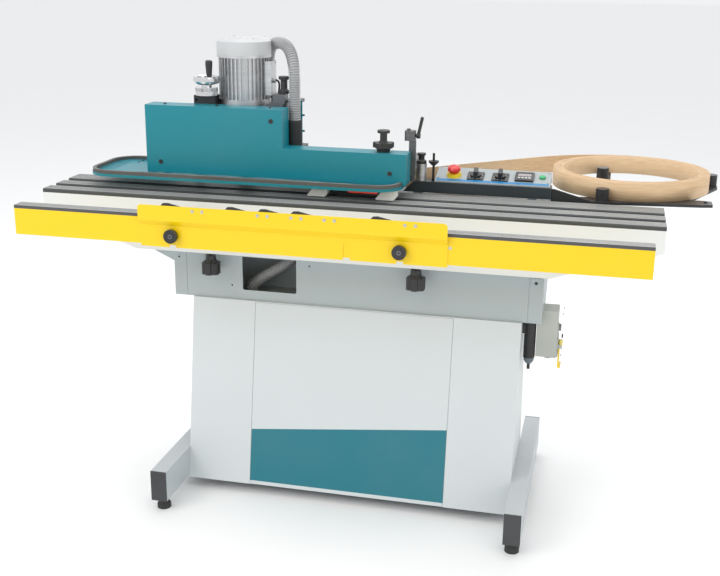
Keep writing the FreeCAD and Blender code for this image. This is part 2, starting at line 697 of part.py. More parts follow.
def frame_plates():
    """Plates under the hood's tops, and lower ones behind it that the hood hides."""
    top = HOOD_HIGH_TOP - SHEET
    low_top = HOOD_LOW_TOP - SHEET
    hood_back = HOOD_FRONT + HOOD_DEPTH
    inner_front = HOOD_FRONT + 10
    right = HOOD_RIGHT - 6
    motor_plate_left, motor_plate_right = -486.0, -208.0
    shelf_left = -575.0
    riser_front, riser_back = hood_back + 0.5, hood_back + 8
    pad_right, pad_back = -148.0, 258.0
    return [
        box(HOOD_LEFT + SHEET, HOOD_STEP - SHEET, inner_front, hood_back, top - PLATE_THICK, top),
        box(motor_plate_left, motor_plate_right, hood_back, FRAME_BACK, top - PLATE_THICK, top),
        box(shelf_left, WEB_RIGHT, riser_front, FRAME_BACK, SHELF_LOW, SHELF_HIGH),
        box(WEB_LEFT, right, inner_front, hood_back, low_top - PLATE_THICK, low_top),
        box(WEB_LEFT, pad_right, hood_back, pad_back, low_top - PLATE_THICK, low_top),
        box(WEB_LEFT, right, riser_front, riser_back, REAR_PLATE_LOW, low_top - PLATE_THICK),
        box(WEB_LEFT, pad_right, riser_front, riser_back, REAR_PLATE_LOW, low_top),
        box(WEB_LEFT, right, hood_back, riser_back, low_top - PLATE_THICK,
            low_top - PLATE_THICK / 2),
        box(WEB_LEFT, right, riser_front, FRAME_BACK, REAR_PLATE_LOW, REAR_PLATE_HIGH),
        box(WEB_LEFT, WEB_RIGHT, riser_front, FRAME_BACK, REAR_PLATE_LOW, top - PLATE_THICK),
        box(WEB_LEFT, WEB_RIGHT, inner_front, riser_front, low_top, top - PLATE_THICK),
    ]


def frame_hangers():
    """Two hangers that carry the guard, one near each end of the hood."""
    top = HOOD_HIGH_TOP - SHEET - PLATE_THICK
    low_top = HOOD_LOW_TOP - SHEET - PLATE_THICK
    front, back, thick = 150.0, 188.0, 12.0
    left, right = HOOD_LEFT + 44, HOOD_RIGHT - 51
    return [box(left, left + thick, front, back, GUARD_TOP, top),
            box(right, right + thick, front, back, GUARD_TOP, low_top)]


def limit_stand():
    """Pad and block that carry the small knob beside the hose."""
    top = HOOD_HIGH_TOP - SHEET
    pad = box(-258, -208, 205, 260, top, top + 9)
    block = box(-241, -205, 210, 249, top + 9, top + 36)
    return [pad, block]


def lever_bracket():
    """Upright strap and clamp block for the lever at the head's right end."""
    strap = box(165, 185, 196, 202, 958, 1058)
    bar = box(167, 182, 202, 211, 940, 1006)
    clamp = rounded_plate(153, 183, 186, 214, 1058, 1086, 6)
    screw = rod(163, 200, 1086, 1091, 5)
    return [strap, bar, clamp, screw]


def limit_knob_place():
    """Centre of the small knob beside the suction hose."""
    return (-214.0, 236.0)


def lever_pivot():
    """Y and Z of the clamping lever's pivot."""
    return (200.0, 1072.0)


def guard_outline(inset, z0, z1):
    """Rounded plan outline of the guard, cut back behind the hood."""
    plate = rounded_plate(GUARD_LEFT + inset, GUARD_RIGHT - inset, GUARD_FRONT + inset,
                          GUARD_BACK - inset, z0, z1, GUARD_CORNER - inset)
    behind_hood = box(-560, GUARD_RIGHT, HOOD_FRONT + HOOD_DEPTH - 5, GUARD_BACK, z0, z1)
    return plate.cut(behind_hood)


def guard_plate():
    """Slotted hold-down guard with a short turned-down lip."""
    low = GUARD_TOP - GUARD_THICK
    lip_low = 932.0
    plate = guard_outline(0, low, GUARD_TOP)
    slot_half = 2.5
    pitch = 37.0
    slots = []
    x = GUARD_LEFT + GUARD_CORNER + 10
    while x < GUARD_RIGHT - GUARD_CORNER - 10:
        slots.append(box(x - slot_half, x + slot_half, GUARD_FRONT + 16, 122, low, GUARD_TOP))
        if x < HOOD_LEFT - 12:
            slots.append(box(x - slot_half * 2, x + slot_half * 2, 252, GUARD_BACK - 15,
                             low, GUARD_TOP))
        x += pitch
    side_pitch = 15.0
    for n in range(9):
        y = GUARD_FRONT + GUARD_CORNER + n * side_pitch
        slots.append(box(GUARD_LEFT + 15, GUARD_LEFT + 62, y - slot_half, y + slot_half,
                         low, GUARD_TOP))
    plate = plate.cut(group(slots))
    lip = guard_outline(0, lip_low, low).cut(guard_outline(SHEET, lip_low, low))
    open_back = box(-560, GUARD_RIGHT, HOOD_FRONT + HOOD_DEPTH - 5 - SHEET, GUARD_BACK,
                    lip_low, low)
    return plate.fuse(lip.cut(open_back)).removeSplitter()


def guard_edging():
    """Rubber edging that stands on the guard all round its free edge."""
    inner = guard_outline(12, GUARD_TOP, GUARD_TOP + 10)
    ring = guard_outline(2, GUARD_TOP, GUARD_TOP + 10).cut(inner)
    hidden_side = box(-560, GUARD_RIGHT, HOOD_FRONT - 1, GUARD_BACK,
                      GUARD_TOP, GUARD_TOP + 10)
    return ring.cut(hidden_side)


def pressure_shoes():
    """Two nylon shoes under the guard that lead panels in."""
    shoes = []
    for x in (-108.0, 90.0):
        outline = ((x, 905), (x + 6, 903), (x + 52, 903), (x + 60, 912),
                   (x + 60, GUARD_TOP - GUARD_THICK), (x + 26, GUARD_TOP - GUARD_THICK))
        shoes.append(front_outline(outline, 100, 130))
    return group(shoes)


def motor_base():
    """Height on which the motor stands."""
    return HOOD_HIGH_TOP - SHEET


def motor_body():
    """Finned motor housing with a bore for its rotor."""
    base = motor_base()
    flange_top = base + 14
    core = rod(MOTOR_X, MOTOR_Y, flange_top, MOTOR_FIN_TOP, MOTOR_CORE)
    flange = rod(MOTOR_X, MOTOR_Y, base, flange_top, 78)
    rim = rod(MOTOR_X, MOTOR_Y, MOTOR_FIN_TOP, MOTOR_TOP, MOTOR_RIM)
    fin_half = 1.4
    fins = []
    for n in range(FIN_COUNT):
        fin = box(MOTOR_X + MOTOR_CORE - 2, MOTOR_X + MOTOR_FIN_TIP, MOTOR_Y - fin_half,
                  MOTOR_Y + fin_half, flange_top, MOTOR_FIN_TOP)
        fin.rotate(Vector(MOTOR_X, MOTOR_Y, 0), UP, 360.0 * n / FIN_COUNT)
        fins.append(fin)
    body = fuse([core, flange, rim] + fins)
    body = body.cut(terminal_block())
    cavity = rod(MOTOR_X, MOTOR_Y, 1170, 1256, 41)
    shaft_bore = rod(MOTOR_X, MOTOR_Y, base, MOTOR_TOP, 9.5 + SLIDE_FIT)
    return body.cut(cavity).cut(shaft_bore)


def terminal_block():
    """Block beside the motor that becomes the terminal box."""
    low, high = 1160.0, 1258.0
    front, back = 262.0, 314.0
    block = box(MOTOR_X + 46, TERMINAL_RIGHT, front, back, low, high)
    return block.cut(rod(MOTOR_X, MOTOR_Y, low, high, MOTOR_CORE))


def terminal_box():
    """Terminal box against the motor, with the cable's gland."""
    gland = rod_along_x(GLAND_Y, GLAND_Z, TERMINAL_RIGHT, TERMINAL_RIGHT + GLAND_LENGTH, 8)
    return fuse([terminal_block(), gland])


def motor_cable():
    """Short cable from the gland round to the motor's foot."""
    cable_radius = 3.0
    start = Vector(TERMINAL_RIGHT + GLAND_LENGTH, GLAND_Y, GLAND_Z)
    out = start + Vector(11, 0, 0)
    low = start + Vector(4, 14, -40)
    foot = Vector(TERMINAL_RIGHT + 2, GLAND_Y + 16, motor_base())
    path = smooth_path([start, out, low, foot], 5)
    ring = Part.Wire([Part.makeCircle(cable_radius, start, RIGHT)])
    cable = Part.Solid(path.makePipeShell([ring], True, True).Shells[0])
    below = box(foot.x - 50, foot.x + 50, foot.y - 50, foot.y + 50, motor_base() - 20, motor_base())
    return cable.cut(below)


def motor_cowl():
    """Fan cowl on top of the motor with air slots."""
    wall = 2.0
    profile = ((MOTOR_RIM - wall, MOTOR_TOP), (MOTOR_RIM, MOTOR_TOP),
               (MOTOR_RIM, COWL_TOP - 8), (MOTOR_RIM - 8, COWL_TOP), (0, COWL_TOP),
               (0, COWL_TOP - wall), (MOTOR_RIM - 9, COWL_TOP - wall),
               (MOTOR_RIM - wall, COWL_TOP - 9))
    cowl = turned(profile, MOTOR_X, MOTOR_Y)
    slots = []
    for ring_radius, slot_count in ((26.0, 8), (42.0, 12), (58.0, 16)):
        for n in range(slot_count):
            slot = box(MOTOR_X + ring_radius - 6, MOTOR_X + ring_radius + 6,
                       MOTOR_Y - 1.8, MOTOR_Y + 1.8, COWL_TOP - wall, COWL_TOP)
            slot.rotate(Vector(MOTOR_X, MOTOR_Y, 0), UP, 360.0 * n / slot_count)
            slots.append(slot)
    return cowl.cut(group(slots))


def motor_rotor():
    """Shaft with rotor core, cooling fan and trimming cutter."""
    shaft = rod(MOTOR_X, MOTOR_Y, 905, 1302, 9.5)
    core = rod(MOTOR_X, MOTOR_Y, 1176, 1250, 40)
    hub = rod(MOTOR_X, MOTOR_Y, 1284, 1300, 18)
    blades = []
    blade_count = 8
    for n in range(blade_count):
        blade = box(MOTOR_X + 14, MOTOR_X + 62, MOTOR_Y - 1, MOTOR_Y + 1, 1284, 1300)
        blade.rotate(Vector(MOTOR_X, MOTOR_Y, 0), UP, 360.0 * n / blade_count)
        blades.append(blade)
    cutter = rod(MOTOR_X, MOTOR_Y, 908, 940, 30)
    gullets = []
    knife_count = 4
    for n in range(knife_count):
        gullet = rod(MOTOR_X + 31, MOTOR_Y, 908, 940, 8)
        gullet.rotate(Vector(MOTOR_X, MOTOR_Y, 0), UP, 360.0 * n / knife_count)
        gullets.append(gullet)
    return fuse([shaft, core, hub, cutter.cut(group(gullets))] + blades)


def handwheel_block():
    """Split clamp block that holds the height spindle."""
    base = motor_base()
    top = base + 25.5
    left, right = -480.0, -412.0
    front, back = HOOD_FRONT + HOOD_DEPTH + 0.5, 250.0
    block = rounded_plate(left, right, front, back, base, top, 8)
    split = box(left, WHEEL_X, WHEEL_Y - 2, WHEEL_Y + 2, base, top)
    bore = rod(WHEEL_X, WHEEL_Y, base, top, 8 + SLIDE_FIT)
    screw_hole = rod_along_y(left + 10, base + 13, front, back, 4)
    motor_room = rod(MOTOR_X, MOTOR_Y, base, top, 79)
    return block.cut(split).cut(bore).cut(screw_hole).cut(motor_room)


def handwheel():
    """Dished handwheel with its index collar and the long height spindle."""
    collar_low = motor_base() + 26
    collar = lobed_knob(WHEEL_X, WHEEL_Y, collar_low, collar_low + 23, 32.5, 48, 1.2)
    hub = rod(WHEEL_X, WHEEL_Y, collar_low + 23, 1194, 15)
    dish = turned(((0, 1192), (30, 1192), (36, 1195), (38.5, 1201), (38.5, 1210),
                   (35, 1215), (31, 1212), (29, 1198), (0, 1197)), WHEEL_X, WHEEL_Y)
    spindle = rod(WHEEL_X, WHEEL_Y, 975, collar_low, 8)
    grip_x, grip_y = grip_place()
    boss = rod(grip_x, grip_y, 1195, 1215, 8)
    pin = rod(grip_x, grip_y, 1215, 1256, 3)
    return fuse([collar, hub, dish, spindle, boss, pin])


def grip_place():
    """Centre of the crank grip on the handwheel."""
    return (WHEEL_X + 18.0, WHEEL_Y - 23.0)


def handwheel_grip():
    """Tapered grip that turns on the handwheel's pin."""
    x, y = grip_place()
    grip = turned(((0, 1215.3), (6.5, 1215.3), (8, 1219), (10.5, 1255), (9.5, 1261),
                   (6, 1263), (0, 1263)), x, y)
    return grip.cut(rod(x, y, 1215, 1256.5, 3 + SLIDE_FIT))


def head_columns():
    """Two guide columns on the bridge and the fixed nut for the spindle."""
    columns = []
    for x, top in zip(COLUMN_X, COLUMN_TOP):
        columns.append(rod(x, COLUMN_Y, BRIDGE_TOP, top, COLUMN_RADIUS))
        columns.append(rod(x, COLUMN_Y, BRIDGE_TOP, BRIDGE_TOP + 12, 36))
    return group([fuse(columns[:2] + [nut_arm()]), fuse(columns[2:])])


def nut_arm():
    """Arm from the left column forward to the spindle, with its nut bore."""
    low, arm_top, nut_top = 1000.0, 1016.0, 1040.0
    arm = plan_outline(((-545, 345), (-545, 310), (WHEEL_X - 22, WHEEL_Y - 20),
                        (WHEEL_X + 22, WHEEL_Y - 20), (WHEEL_X + 22, WHEEL_Y + 24),
                        (-500, 345)), low, arm_top)
    nut = rod(WHEEL_X, WHEEL_Y, arm_top, nut_top, 20)
    arm = arm.fuse(nut)
    return arm.cut(rod(WHEEL_X, WHEEL_Y, low, nut_top, 8.3))


def fine_adjust_knob():
    """Star knob with a disc-topped stem on the low part of the hood."""
    x, y = adjuster_place()
    base = HOOD_LOW_TOP + 0.3
    foot = turned(((0, base), (18, base), (20, base + 8), (26, base + 12), (0, base + 12)), x, y)
    star = lobed_knob(x, y, base + 12, base + 26, 30, 5, 11)
    stem = turned(((0, base + 26), (14, base + 26), (10, base + 32), (10, base + 52),
                   (17.5, base + 53), (18, base + 59), (16, base + 61), (0, base + 61)), x, y)
    screw = rod(x, y, 1000, base, 5)
    return fuse([foot, star, stem, screw])


def limit_knob():
    """Spool-shaped knob on the limit block."""
    x, y = limit_knob_place()
    low = HOOD_HIGH_TOP - SHEET + 36.3
    spool = turned(((0, low), (16, low), (16, low + 8), (10, low + 14), (10, low + 38),
                    (15.5, low + 41), (15.5, low + 49), (0, low + 49)), x, y)
    stud = rod(x, y, low - 24, low, 4)
    return fuse([spool, stud])


def clamp_lever():
    """Clamping lever on a cross pivot, its handle leaning out from the head's right end."""
    pivot_y, pivot_z = lever_pivot()
    inside, thick = 186.0, 8.0
    handle_length, lean = 50.0, 12.0
    half = 5.0
    hub_radius, pin_radius = 8.0, 4.0
    handle = box(inside, inside + thick, pivot_y - half, pivot_y + half, pivot_z,
                 pivot_z + handle_length)
    tip = rod_along_x(pivot_y, pivot_z + handle_length, inside, inside + thick, half)
    handle = handle.fuse(tip)
    handle.rotate(Vector(inside, pivot_y, pivot_z), BACKWARD, lean)
    hub = rod_along_x(pivot_y, pivot_z, inside, inside + thick + 2, hub_radius)
    pin = rod_along_x(pivot_y, pivot_z, 168, inside, pin_radius)
    return fuse([handle, hub, pin])


def hose_route():
    """Route of the suction hose from the low hood over behind the motor."""
    heading = Vector(-0.6, 0.8, 0)
    start = Vector(HOSE_X, HOSE_Y, 1045)
    first_corner = Vector(HOSE_X, HOSE_Y, 1308)
    second_corner = first_corner + heading * 220
    end = Vector(second_corner.x, second_corner.y, 1150)
    return smooth_path([start, first_corner, second_corner, end], 100)


def suction_hose():
    """Grey suction hose, held by a cuff at each end."""
    return hose_along(hose_route(), HOSE_RADIUS, HOSE_WALL)


def hose_cuffs():
    """Two rubber cuffs that hold the hose ends."""
    end = hose_route().Edges[-1].Vertexes[-1].Point
    low_seat = HOOD_LOW_TOP - SHEET
    high_seat = motor_base()
    cuffs = []
    for x, y, seat, top in ((HOSE_X, HOSE_Y, low_seat, 1098), (end.x, end.y, high_seat, 1185)):
        outer = turned(((0, seat), (20.5, seat), (20.5, top - 3), (19, top), (0, top)), x, y)
        cuffs.append(outer.cut(rod(x, y, seat, top, HOSE_RADIUS)))
    return group(cuffs)


def hose_bracket():
    """Upright sheet bracket behind the hose with its clip screws."""
    plate = box(-204, -164, 250, 254, HOOD_LOW_TOP - SHEET, 1150)
    screws = [rod_along_x(252, z, -164, -157, 3) for z in (1062.0, 1108.0)]
    return fuse([plate] + screws)


# ---------------------------------------------------------------- tape handling
def roller_y():
    """Y of the pressure roller, set behind the tape."""
    return TAPE_LINE_Y + TAPE_THICK / 2 + 0.3 + ROLLER_RADIUS


def pressure_roller():
    """Rubber-faced roller that presses the tape against the panel edge."""
    wheel = rod(ROLLER_X, roller_y(), BRIDGE_TOP + 6, 950, ROLLER_RADIUS)
    pin = rod(ROLLER_X, roller_y(), BRIDGE_TOP - 12, 960, 6)
    washer = rod(ROLLER_X, roller_y(), BRIDGE_TOP + 0.3, BRIDGE_TOP + 6, 12)
    return fuse([wheel, pin, washer])


def edging_coil():
    """Coil of wood edging: a thick ring of many turns."""
    return tube(COIL_X, COIL_Y, COIL_LOW, COIL_LOW + COIL_HEIGHT, COIL_RADIUS, COIL_BORE)


def edging_tape():
    """Free length of edging from the coil to the pressure roller."""
    turn = radians(TAPE_TURN)
    start = (COIL_X, COIL_Y + COIL_RADIUS + 0.3 + TAPE_THICK / 2)
    bow_centre = (start[0], start[1] - TAPE_BOW)
    bow_end = (bow_centre[0] - TAPE_BOW * sin(turn), bow_centre[1] + TAPE_BOW * cos(turn))
    sweep_start_y = TAPE_LINE_Y + TAPE_SWEEP * (1 - cos(turn))
    run = (bow_end[1] - sweep_start_y) / sin(turn)
    sweep_start = (bow_end[0] - run * cos(turn), sweep_start_y)
    sweep_centre = (sweep_start[0] - TAPE_SWEEP * sin(turn), TAPE_LINE_Y + TAPE_SWEEP)
    low = COIL_LOW
    half = TAPE_THICK / 2

    def bow_point(radius, angle):
        return Vector(bow_centre[0] - radius * sin(angle), bow_centre[1] + radius * cos(angle), low)

    def sweep_point(radius, angle):
        return Vector(sweep_centre[0] + radius * sin(angle),
                      sweep_centre[1] - radius * cos(angle), low)

    def side(bow_radius, sweep_radius):
        first = Part.Arc(bow_point(bow_radius, 0), bow_point(bow_radius, turn / 2),
                         bow_point(bow_radius, turn)).toShape()
        line = Part.LineSegment(bow_point(bow_radius, turn),
                                sweep_point(sweep_radius, turn)).toShape()
        second = Part.Arc(sweep_point(sweep_radius, turn), sweep_point(sweep_radius, turn / 2),
                          sweep_point(sweep_radius, 0)).toShape()
        end = sweep_point(sweep_radius, 0)
        last = Part.LineSegment(end, Vector(TAPE_END_X, end.y, low)).toShape()
        return [first, line, second, last]

    outer = side(TAPE_BOW + half, TAPE_SWEEP - half)
    inner = side(TAPE_BOW - half, TAPE_SWEEP + half)
    caps = [Part.LineSegment(bow_point(TAPE_BOW + half, 0),
                             bow_point(TAPE_BOW - half, 0)).toShape(),
            Part.LineSegment(Vector(TAPE_END_X, TAPE_LINE_Y - half, low),
                             Vector(TAPE_END_X, TAPE_LINE_Y + half, low)).toShape()]
    outline = Part.Wire(Part.sortEdges(outer + inner + caps)[0])
    return Part.Face(outline).extrude(Vector(0, 0, COIL_HEIGHT))


def coil_holder():
    """Flat black arms under the coil, welded to a gusset on the desk end."""
    low = COIL_LOW - 8
    gusset = front_outline(((CONSOLE_RIGHT, low), (CONSOLE_RIGHT, CONSOLE_HIGH - 2),
                            (CONSOLE_RIGHT + 8, CONSOLE_HIGH - 2), (680, COIL_LOW), (680, low)),
                           CONSOLE_FRONT + 4, CONSOLE_FRONT + 10)
    main = plan_outline(((CONSOLE_RIGHT, 254), (700, 254), (980, 292), (1010, 300),
                         (1010, 345), (980, 352), (CONSOLE_RIGHT, 300)), low, COIL_LOW)
    slot = box(620, 672, 262, 272, low, COIL_LOW)
    cross = box(684, 728, 254, COIL_ARM_BACK, low, COIL_LOW)
    side_arm = plan_outline(((880, 300), (930, 300), (COIL_ARM_RIGHT, 560),
                             (COIL_ARM_RIGHT, 600), (1008, 600)), low, COIL_LOW)
    holder = fuse([gusset, main.cut(slot), cross, side_arm])
    for x, y in post_places():
        holder = holder.cut(rod(x, y, low, COIL_LOW, 4))
    return holder


def post_places():
    """Centres of the four posts: three outside the coil and one inside."""
    outside = COIL_RADIUS + POST_RADIUS + 1.5
    places = [(COIL_X + outside * cos(radians(angle)), COIL_Y + outside * sin(radians(angle)))
              for angle in (-108.0, 16.0)]
    behind_tape = (706.0, COIL_ARM_BACK - POST_RADIUS - 1)
    inside_coil = (703.0, 600.0)
    return places + [behind_tape, inside_coil]


def coil_posts():
    """Knurled posts that keep the coil in place, screwed to the arms."""
    posts = []
    for x, y in post_places():
        post = lobed_knob(x, y, COIL_LOW, COIL_LOW + POST_HEIGHT, POST_RADIUS, 24, 1.6)
        screw = rod(x, y, COIL_LOW - 8, COIL_LOW, 4)
        posts.append(post.fuse(screw).removeSplitter())
    return group(posts)


# ---------------------------------------------------------------- the desk
def console_base():
    """Black channel that carries the desk and the air regulator."""
    wall = 2.5
    base = box(CONSOLE_LEFT, CONSOLE_RIGHT, CONSOLE_FRONT, CONSOLE_BACK,
               CONSOLE_LOW, CONSOLE_HIGH)
    slant = front_outline(((CONSOLE_LEFT, CONSOLE_LOW), (CONSOLE_LEFT + 32, CONSOLE_HIGH),
                           (CONSOLE_LEFT, CONSOLE_HIGH)), CONSOLE_FRONT, CONSOLE_BACK)
    base = base.cut(slant)
    hollow = box(CONSOLE_LEFT + 40, CONSOLE_RIGHT - wall, CONSOLE_FRONT + wall, CONSOLE_BACK,
                 CONSOLE_LOW + wall, CONSOLE_HIGH - wall)
    return base.cut(hollow)


def console_desk():
    """Sloping sheet desk with holes for its controls."""
    wall = 2.0
    outer = side_outline(((DESK_FRONT, CONSOLE_HIGH), (DESK_FRONT, DESK_FRONT_TOP),
                          (DESK_BACK, DESK_BACK_TOP), (DESK_BACK, CONSOLE_HIGH)),
                         DESK_LEFT, DESK_RIGHT)
    lift = 2.2
    inner = side_outline(((DESK_FRONT + 14, CONSOLE_HIGH), (DESK_FRONT + 14, DESK_FRONT_TOP + 1.8),
                          (DESK_BACK - wall, DESK_BACK_TOP - lift - 0.5),
                          (DESK_BACK - wall, CONSOLE_HIGH)),
                         DESK_LEFT + wall, DESK_RIGHT - wall)
    desk = outer.cut(inner)
    desk = desk.cut(at_desk(rod(0, 0, -30, 10, 10 + SLIDE_FIT), STOP_BUTTON_X, DESK_ITEM_Y))
    for x in SWITCH_X:
        desk = desk.cut(at_desk(rod(0, 0, -30, 10, 5 + SLIDE_FIT), x, DESK_ITEM_Y))
    return desk


def console_plates():
    """Display bezel and the two square plates under the rotary switches."""
    half = SWITCH_PLATE / 2
    plates = []
    for x in SWITCH_X:
        plate = rounded_plate(-half, half, -half, half, 0, 3, 4)
        plate = plate.cut(rod(0, 0, 0, 3, 5 + SLIDE_FIT))
        plates.append(at_desk(plate, x, DESK_ITEM_Y))
    bezel = rounded_plate(-27, 27, -26, 26, 0, 6, 3)
    bezel = bezel.cut(box(-21, 21, -2, 18, 4, 6))
    plates.append(at_desk(bezel, DISPLAY_X, DISPLAY_Y))
    return group(plates)


def stop_button_collar():
    """Yellow collar round the emergency stop."""
    collar = turned(((10 + SLIDE_FIT, 0), (22, 0), (20, 9), (10 + SLIDE_FIT, 9)), 0, 0)
    return at_desk(collar, STOP_BUTTON_X, DESK_ITEM_Y)


def stop_button():
    """Red mushroom button of the emergency stop."""
    head = turned(((0, 14), (15, 14), (19, 18), (19, 23), (15, 28), (8, 30), (0, 30.5)), 0, 0)
    stem = rod(0, 0, -6, 14, 10)
    return at_desk(fuse([head, stem]), STOP_BUTTON_X, DESK_ITEM_Y)


def rotary_switch(x):
    """Rotary switch knob with a bar handle."""
    skirt = rod(0, 0, 3.3, 9, 16)
    handle = rounded_plate(-6, 6, -15, 15, 9, 22, 4)
    stem = rod(0, 0, -12, 3.3, 5)
    return at_desk(fuse([skirt, handle, stem]), x, DESK_ITEM_Y)


def regulator_body():
    """Air regulator cylinder on the channel, with its threaded neck."""
    x, y = regulator_place()
    lower = rod(x, y, CONSOLE_HIGH, 957, 15.5)
    upper = rod(x, y, 957, 981, 16.5)
    return fuse([lower, upper]).cut(rod(x, y, 965, 981, 5 + SLIDE_FIT))


def regulator_place():
    """Centre of the air regulator."""
    return (189.0, 272.0)


def regulator_knob():
    """Spool-shaped knob of the air regulator."""
    x, y = regulator_place()
    spool = turned(((0, 981.3), (15, 981.3), (15, 989), (9, 993), (9, 1003), (12.5, 1005),
                    (12.5, 1011), (0, 1011)), x, y)
    return fuse([spool, rod(x, y, 966, 981.3, 5)])


def guide_rod():
    """Threaded rod with a dished flange beside the regulator."""
    x = 225.0
    y = 272.0
    low = CONSOLE_HIGH
    return turned(((0, low), (5, low), (5, low + 6), (3.5, low + 6), (3.5, 976), (6, 977),
                   (15, 986), (15, 990), (3.5, 988), (3.5, 1012), (0, 1013)), x, y)


# ---------------------------------------------------------------- services
def electric_box():
    """Switch box on the right side, with the hinge lugs of its flap and a cable gland."""
    plate_half = 33.0
    plate_above = 22.0
    gland_x, gland_y = 590.0, 165.0
    gland_radius, gland_length = 10.0, 16.0
    collar_radius = START_RADIUS + 4
    case = box(ELECTRIC_LEFT, ELECTRIC_RIGHT, ELECTRIC_FRONT, ELECTRIC_BACK,
               ELECTRIC_LOW, ELECTRIC_HIGH)
    case = case.cut(box(ELECTRIC_LEFT, BOX_RIGHT, ELECTRIC_FRONT, ELECTRIC_BACK,
                        BOX_BOTTOM, ELECTRIC_HIGH))
    plate = box(ELECTRIC_RIGHT, SWITCH_FACE, FLAP_Y - plate_half, FLAP_Y + plate_half,
                ELECTRIC_LOW + SHEET, FLAP_Z + plate_above)
    collar = rod_along_x(START_Y, START_Z, ELECTRIC_RIGHT, SWITCH_FACE, collar_radius)
    gland = rod(gland_x, gland_y, ELECTRIC_LOW - gland_length, ELECTRIC_LOW, gland_radius)
    case = fuse([case, plate, collar, gland] + hinge_lugs())
    return case.cut(rod_along_x(START_Y, START_Z, SWITCH_FACE - START_DEPTH - 4,
                                SWITCH_FACE, START_RADIUS + SLIDE_FIT))


def hinge_lugs():
    """Two lugs with the pin that the switch flap hangs on."""
    thick = 5.0
    half_height = 5.0
    inner = FLAP_WIDTH / 2 + 0.3
    lugs = [box(SWITCH_FACE, HINGE_X + half_height, FLAP_Y + side * inner - (side < 0) * thick,
                FLAP_Y + side * inner + (side > 0) * thick, FLAP_Z - half_height,
                FLAP_Z + half_height) for side in (-1, 1)]
    pin = rod_along_y(HINGE_X, FLAP_Z, FLAP_Y - inner, FLAP_Y + inner, HINGE_PIN)
    return lugs + [pin]


def switch_flap():
    """Hinged flap that hangs over the main switch, with a lip to lift it by."""
    thick = 4.0
    lip = 5.0
    inner_face = HINGE_X - HINGE_RADIUS + 0.7
    front = FLAP_Y - FLAP_WIDTH / 2
    back = FLAP_Y + FLAP_WIDTH / 2
    bottom = FLAP_Z - FLAP_LENGTH
    barrel = rod_along_y(HINGE_X, FLAP_Z, front, back, HINGE_RADIUS)
    leaf = box(inner_face, inner_face + thick, front, back, bottom, FLAP_Z)
    edge = box(inner_face, inner_face + thick + lip, front, back, bottom, bottom + thick)
    flap = fuse([barrel, leaf, edge])
    return flap.cut(rod_along_y(HINGE_X, FLAP_Z, front, back, HINGE_PIN + SLIDE_FIT))


def start_button():
    """Grey push button above the flap."""
    proud = 6.0
    return rod_along_x(START_Y, START_Z, SWITCH_FACE - START_DEPTH, SWITCH_FACE + proud,
                       START_RADIUS)


def air_filter():
    """Compressed-air filter with a faceted bowl ring and a drain, on the cabinet's right side."""
    body_radius, ring_radius, ring_tip, drain_radius = 16.5, 14.5, 9.0, 4.5
    body_low, ring_low, drain_low = 468.0, 450.0, 432.0
    bracket_half = 10.0
    bracket_low, bracket_high = 540.0, 566.0
    body_high = bracket_high + 4
    body = rod(FILTER_X, FILTER_Y, body_low, body_high, body_radius)
    ring = turned(((0, ring_low), (ring_tip, ring_low), (ring_radius, ring_low + ring_tip),
                   (ring_radius, body_low), (0, body_low)), FILTER_X, FILTER_Y)
    drain = rod(FILTER_X, FILTER_Y, drain_low, ring_low, drain_radius)
    bracket = box(CABINET_RIGHT, FILTER_X, FILTER_Y - bracket_half, FILTER_Y + bracket_half,
                  bracket_low, bracket_high)
    return fuse([body, ring, drain, bracket])


# ---------------------------------------------------------------- all sub-parts
SUB_PARTS = {
    "foot_beams": foot_beams,
    "foot_end_caps": foot_end_caps,
    "levelling_feet": levelling_feet,
    "cabinet_shell": cabinet_shell,
    "cabinet_front_panel": cabinet_front_panel,
    "upper_box": upper_box,
    "window_hose": window_hose,
    "table_bed": table_bed,
    "table_strips": table_strips,
    "rear_bridge": rear_bridge,
    "arm_guides": arm_guides,
    "support_bar": support_bar,
    "bar_strip": bar_strip,
    "support_arms": support_arms,
    "arm_knob_left": lambda: arm_knob(ARM_X[0]),
    "arm_knob_right": lambda: arm_knob(ARM_X[1]),
    "stop_plate": stop_plate,
    "stop_fingers": stop_fingers,
    "plate_knob_left": lambda: plate_knob(PLATE_KNOB_X[0]),
    "plate_knob_right": lambda: plate_knob(PLATE_KNOB_X[1]),
    "hood_cover": hood_cover,
    "head_frame": head_frame,
    "guard_plate": guard_plate,
    "guard_edging": guard_edging,
    "pressure_shoes": pressure_shoes,
    "motor_body": motor_body,
    "terminal_box": terminal_box,
    "motor_cable": motor_cable,
    "motor_cowl": motor_cowl,
    "motor_rotor": motor_rotor,
    "handwheel_block": handwheel_block,
    "handwheel": handwheel,
    "handwheel_grip": handwheel_grip,
    "head_columns": head_columns,
    "fine_adjust_knob": fine_adjust_knob,
    "limit_knob": limit_knob,
    "clamp_lever": clamp_lever,
    "suction_hose": suction_hose,
    "hose_cuffs": hose_cuffs,
    "hose_bracket": hose_bracket,
    "pressure_roller": pressure_roller,
    "edging_coil": edging_coil,
    "edging_tape": edging_tape,
    "coil_holder": coil_holder,
    "coil_posts": coil_posts,
    "console_base": console_base,
    "console_desk": console_desk,
    "console_plates": console_plates,
    "stop_button_collar": stop_button_collar,
    "stop_button": stop_button,
    "rotary_switch_left": lambda: rotary_switch(SWITCH_X[0]),
    "rotary_switch_right": lambda: rotary_switch(SWITCH_X[1]),
    "regulator_body": regulator_body,
    "regulator_knob": regulator_knob,
    "guide_rod": guide_rod,
    "electric_box": electric_box,
    "switch_flap": switch_flap,
    "start_button": start_button,
    "air_filter": air_filter,
}


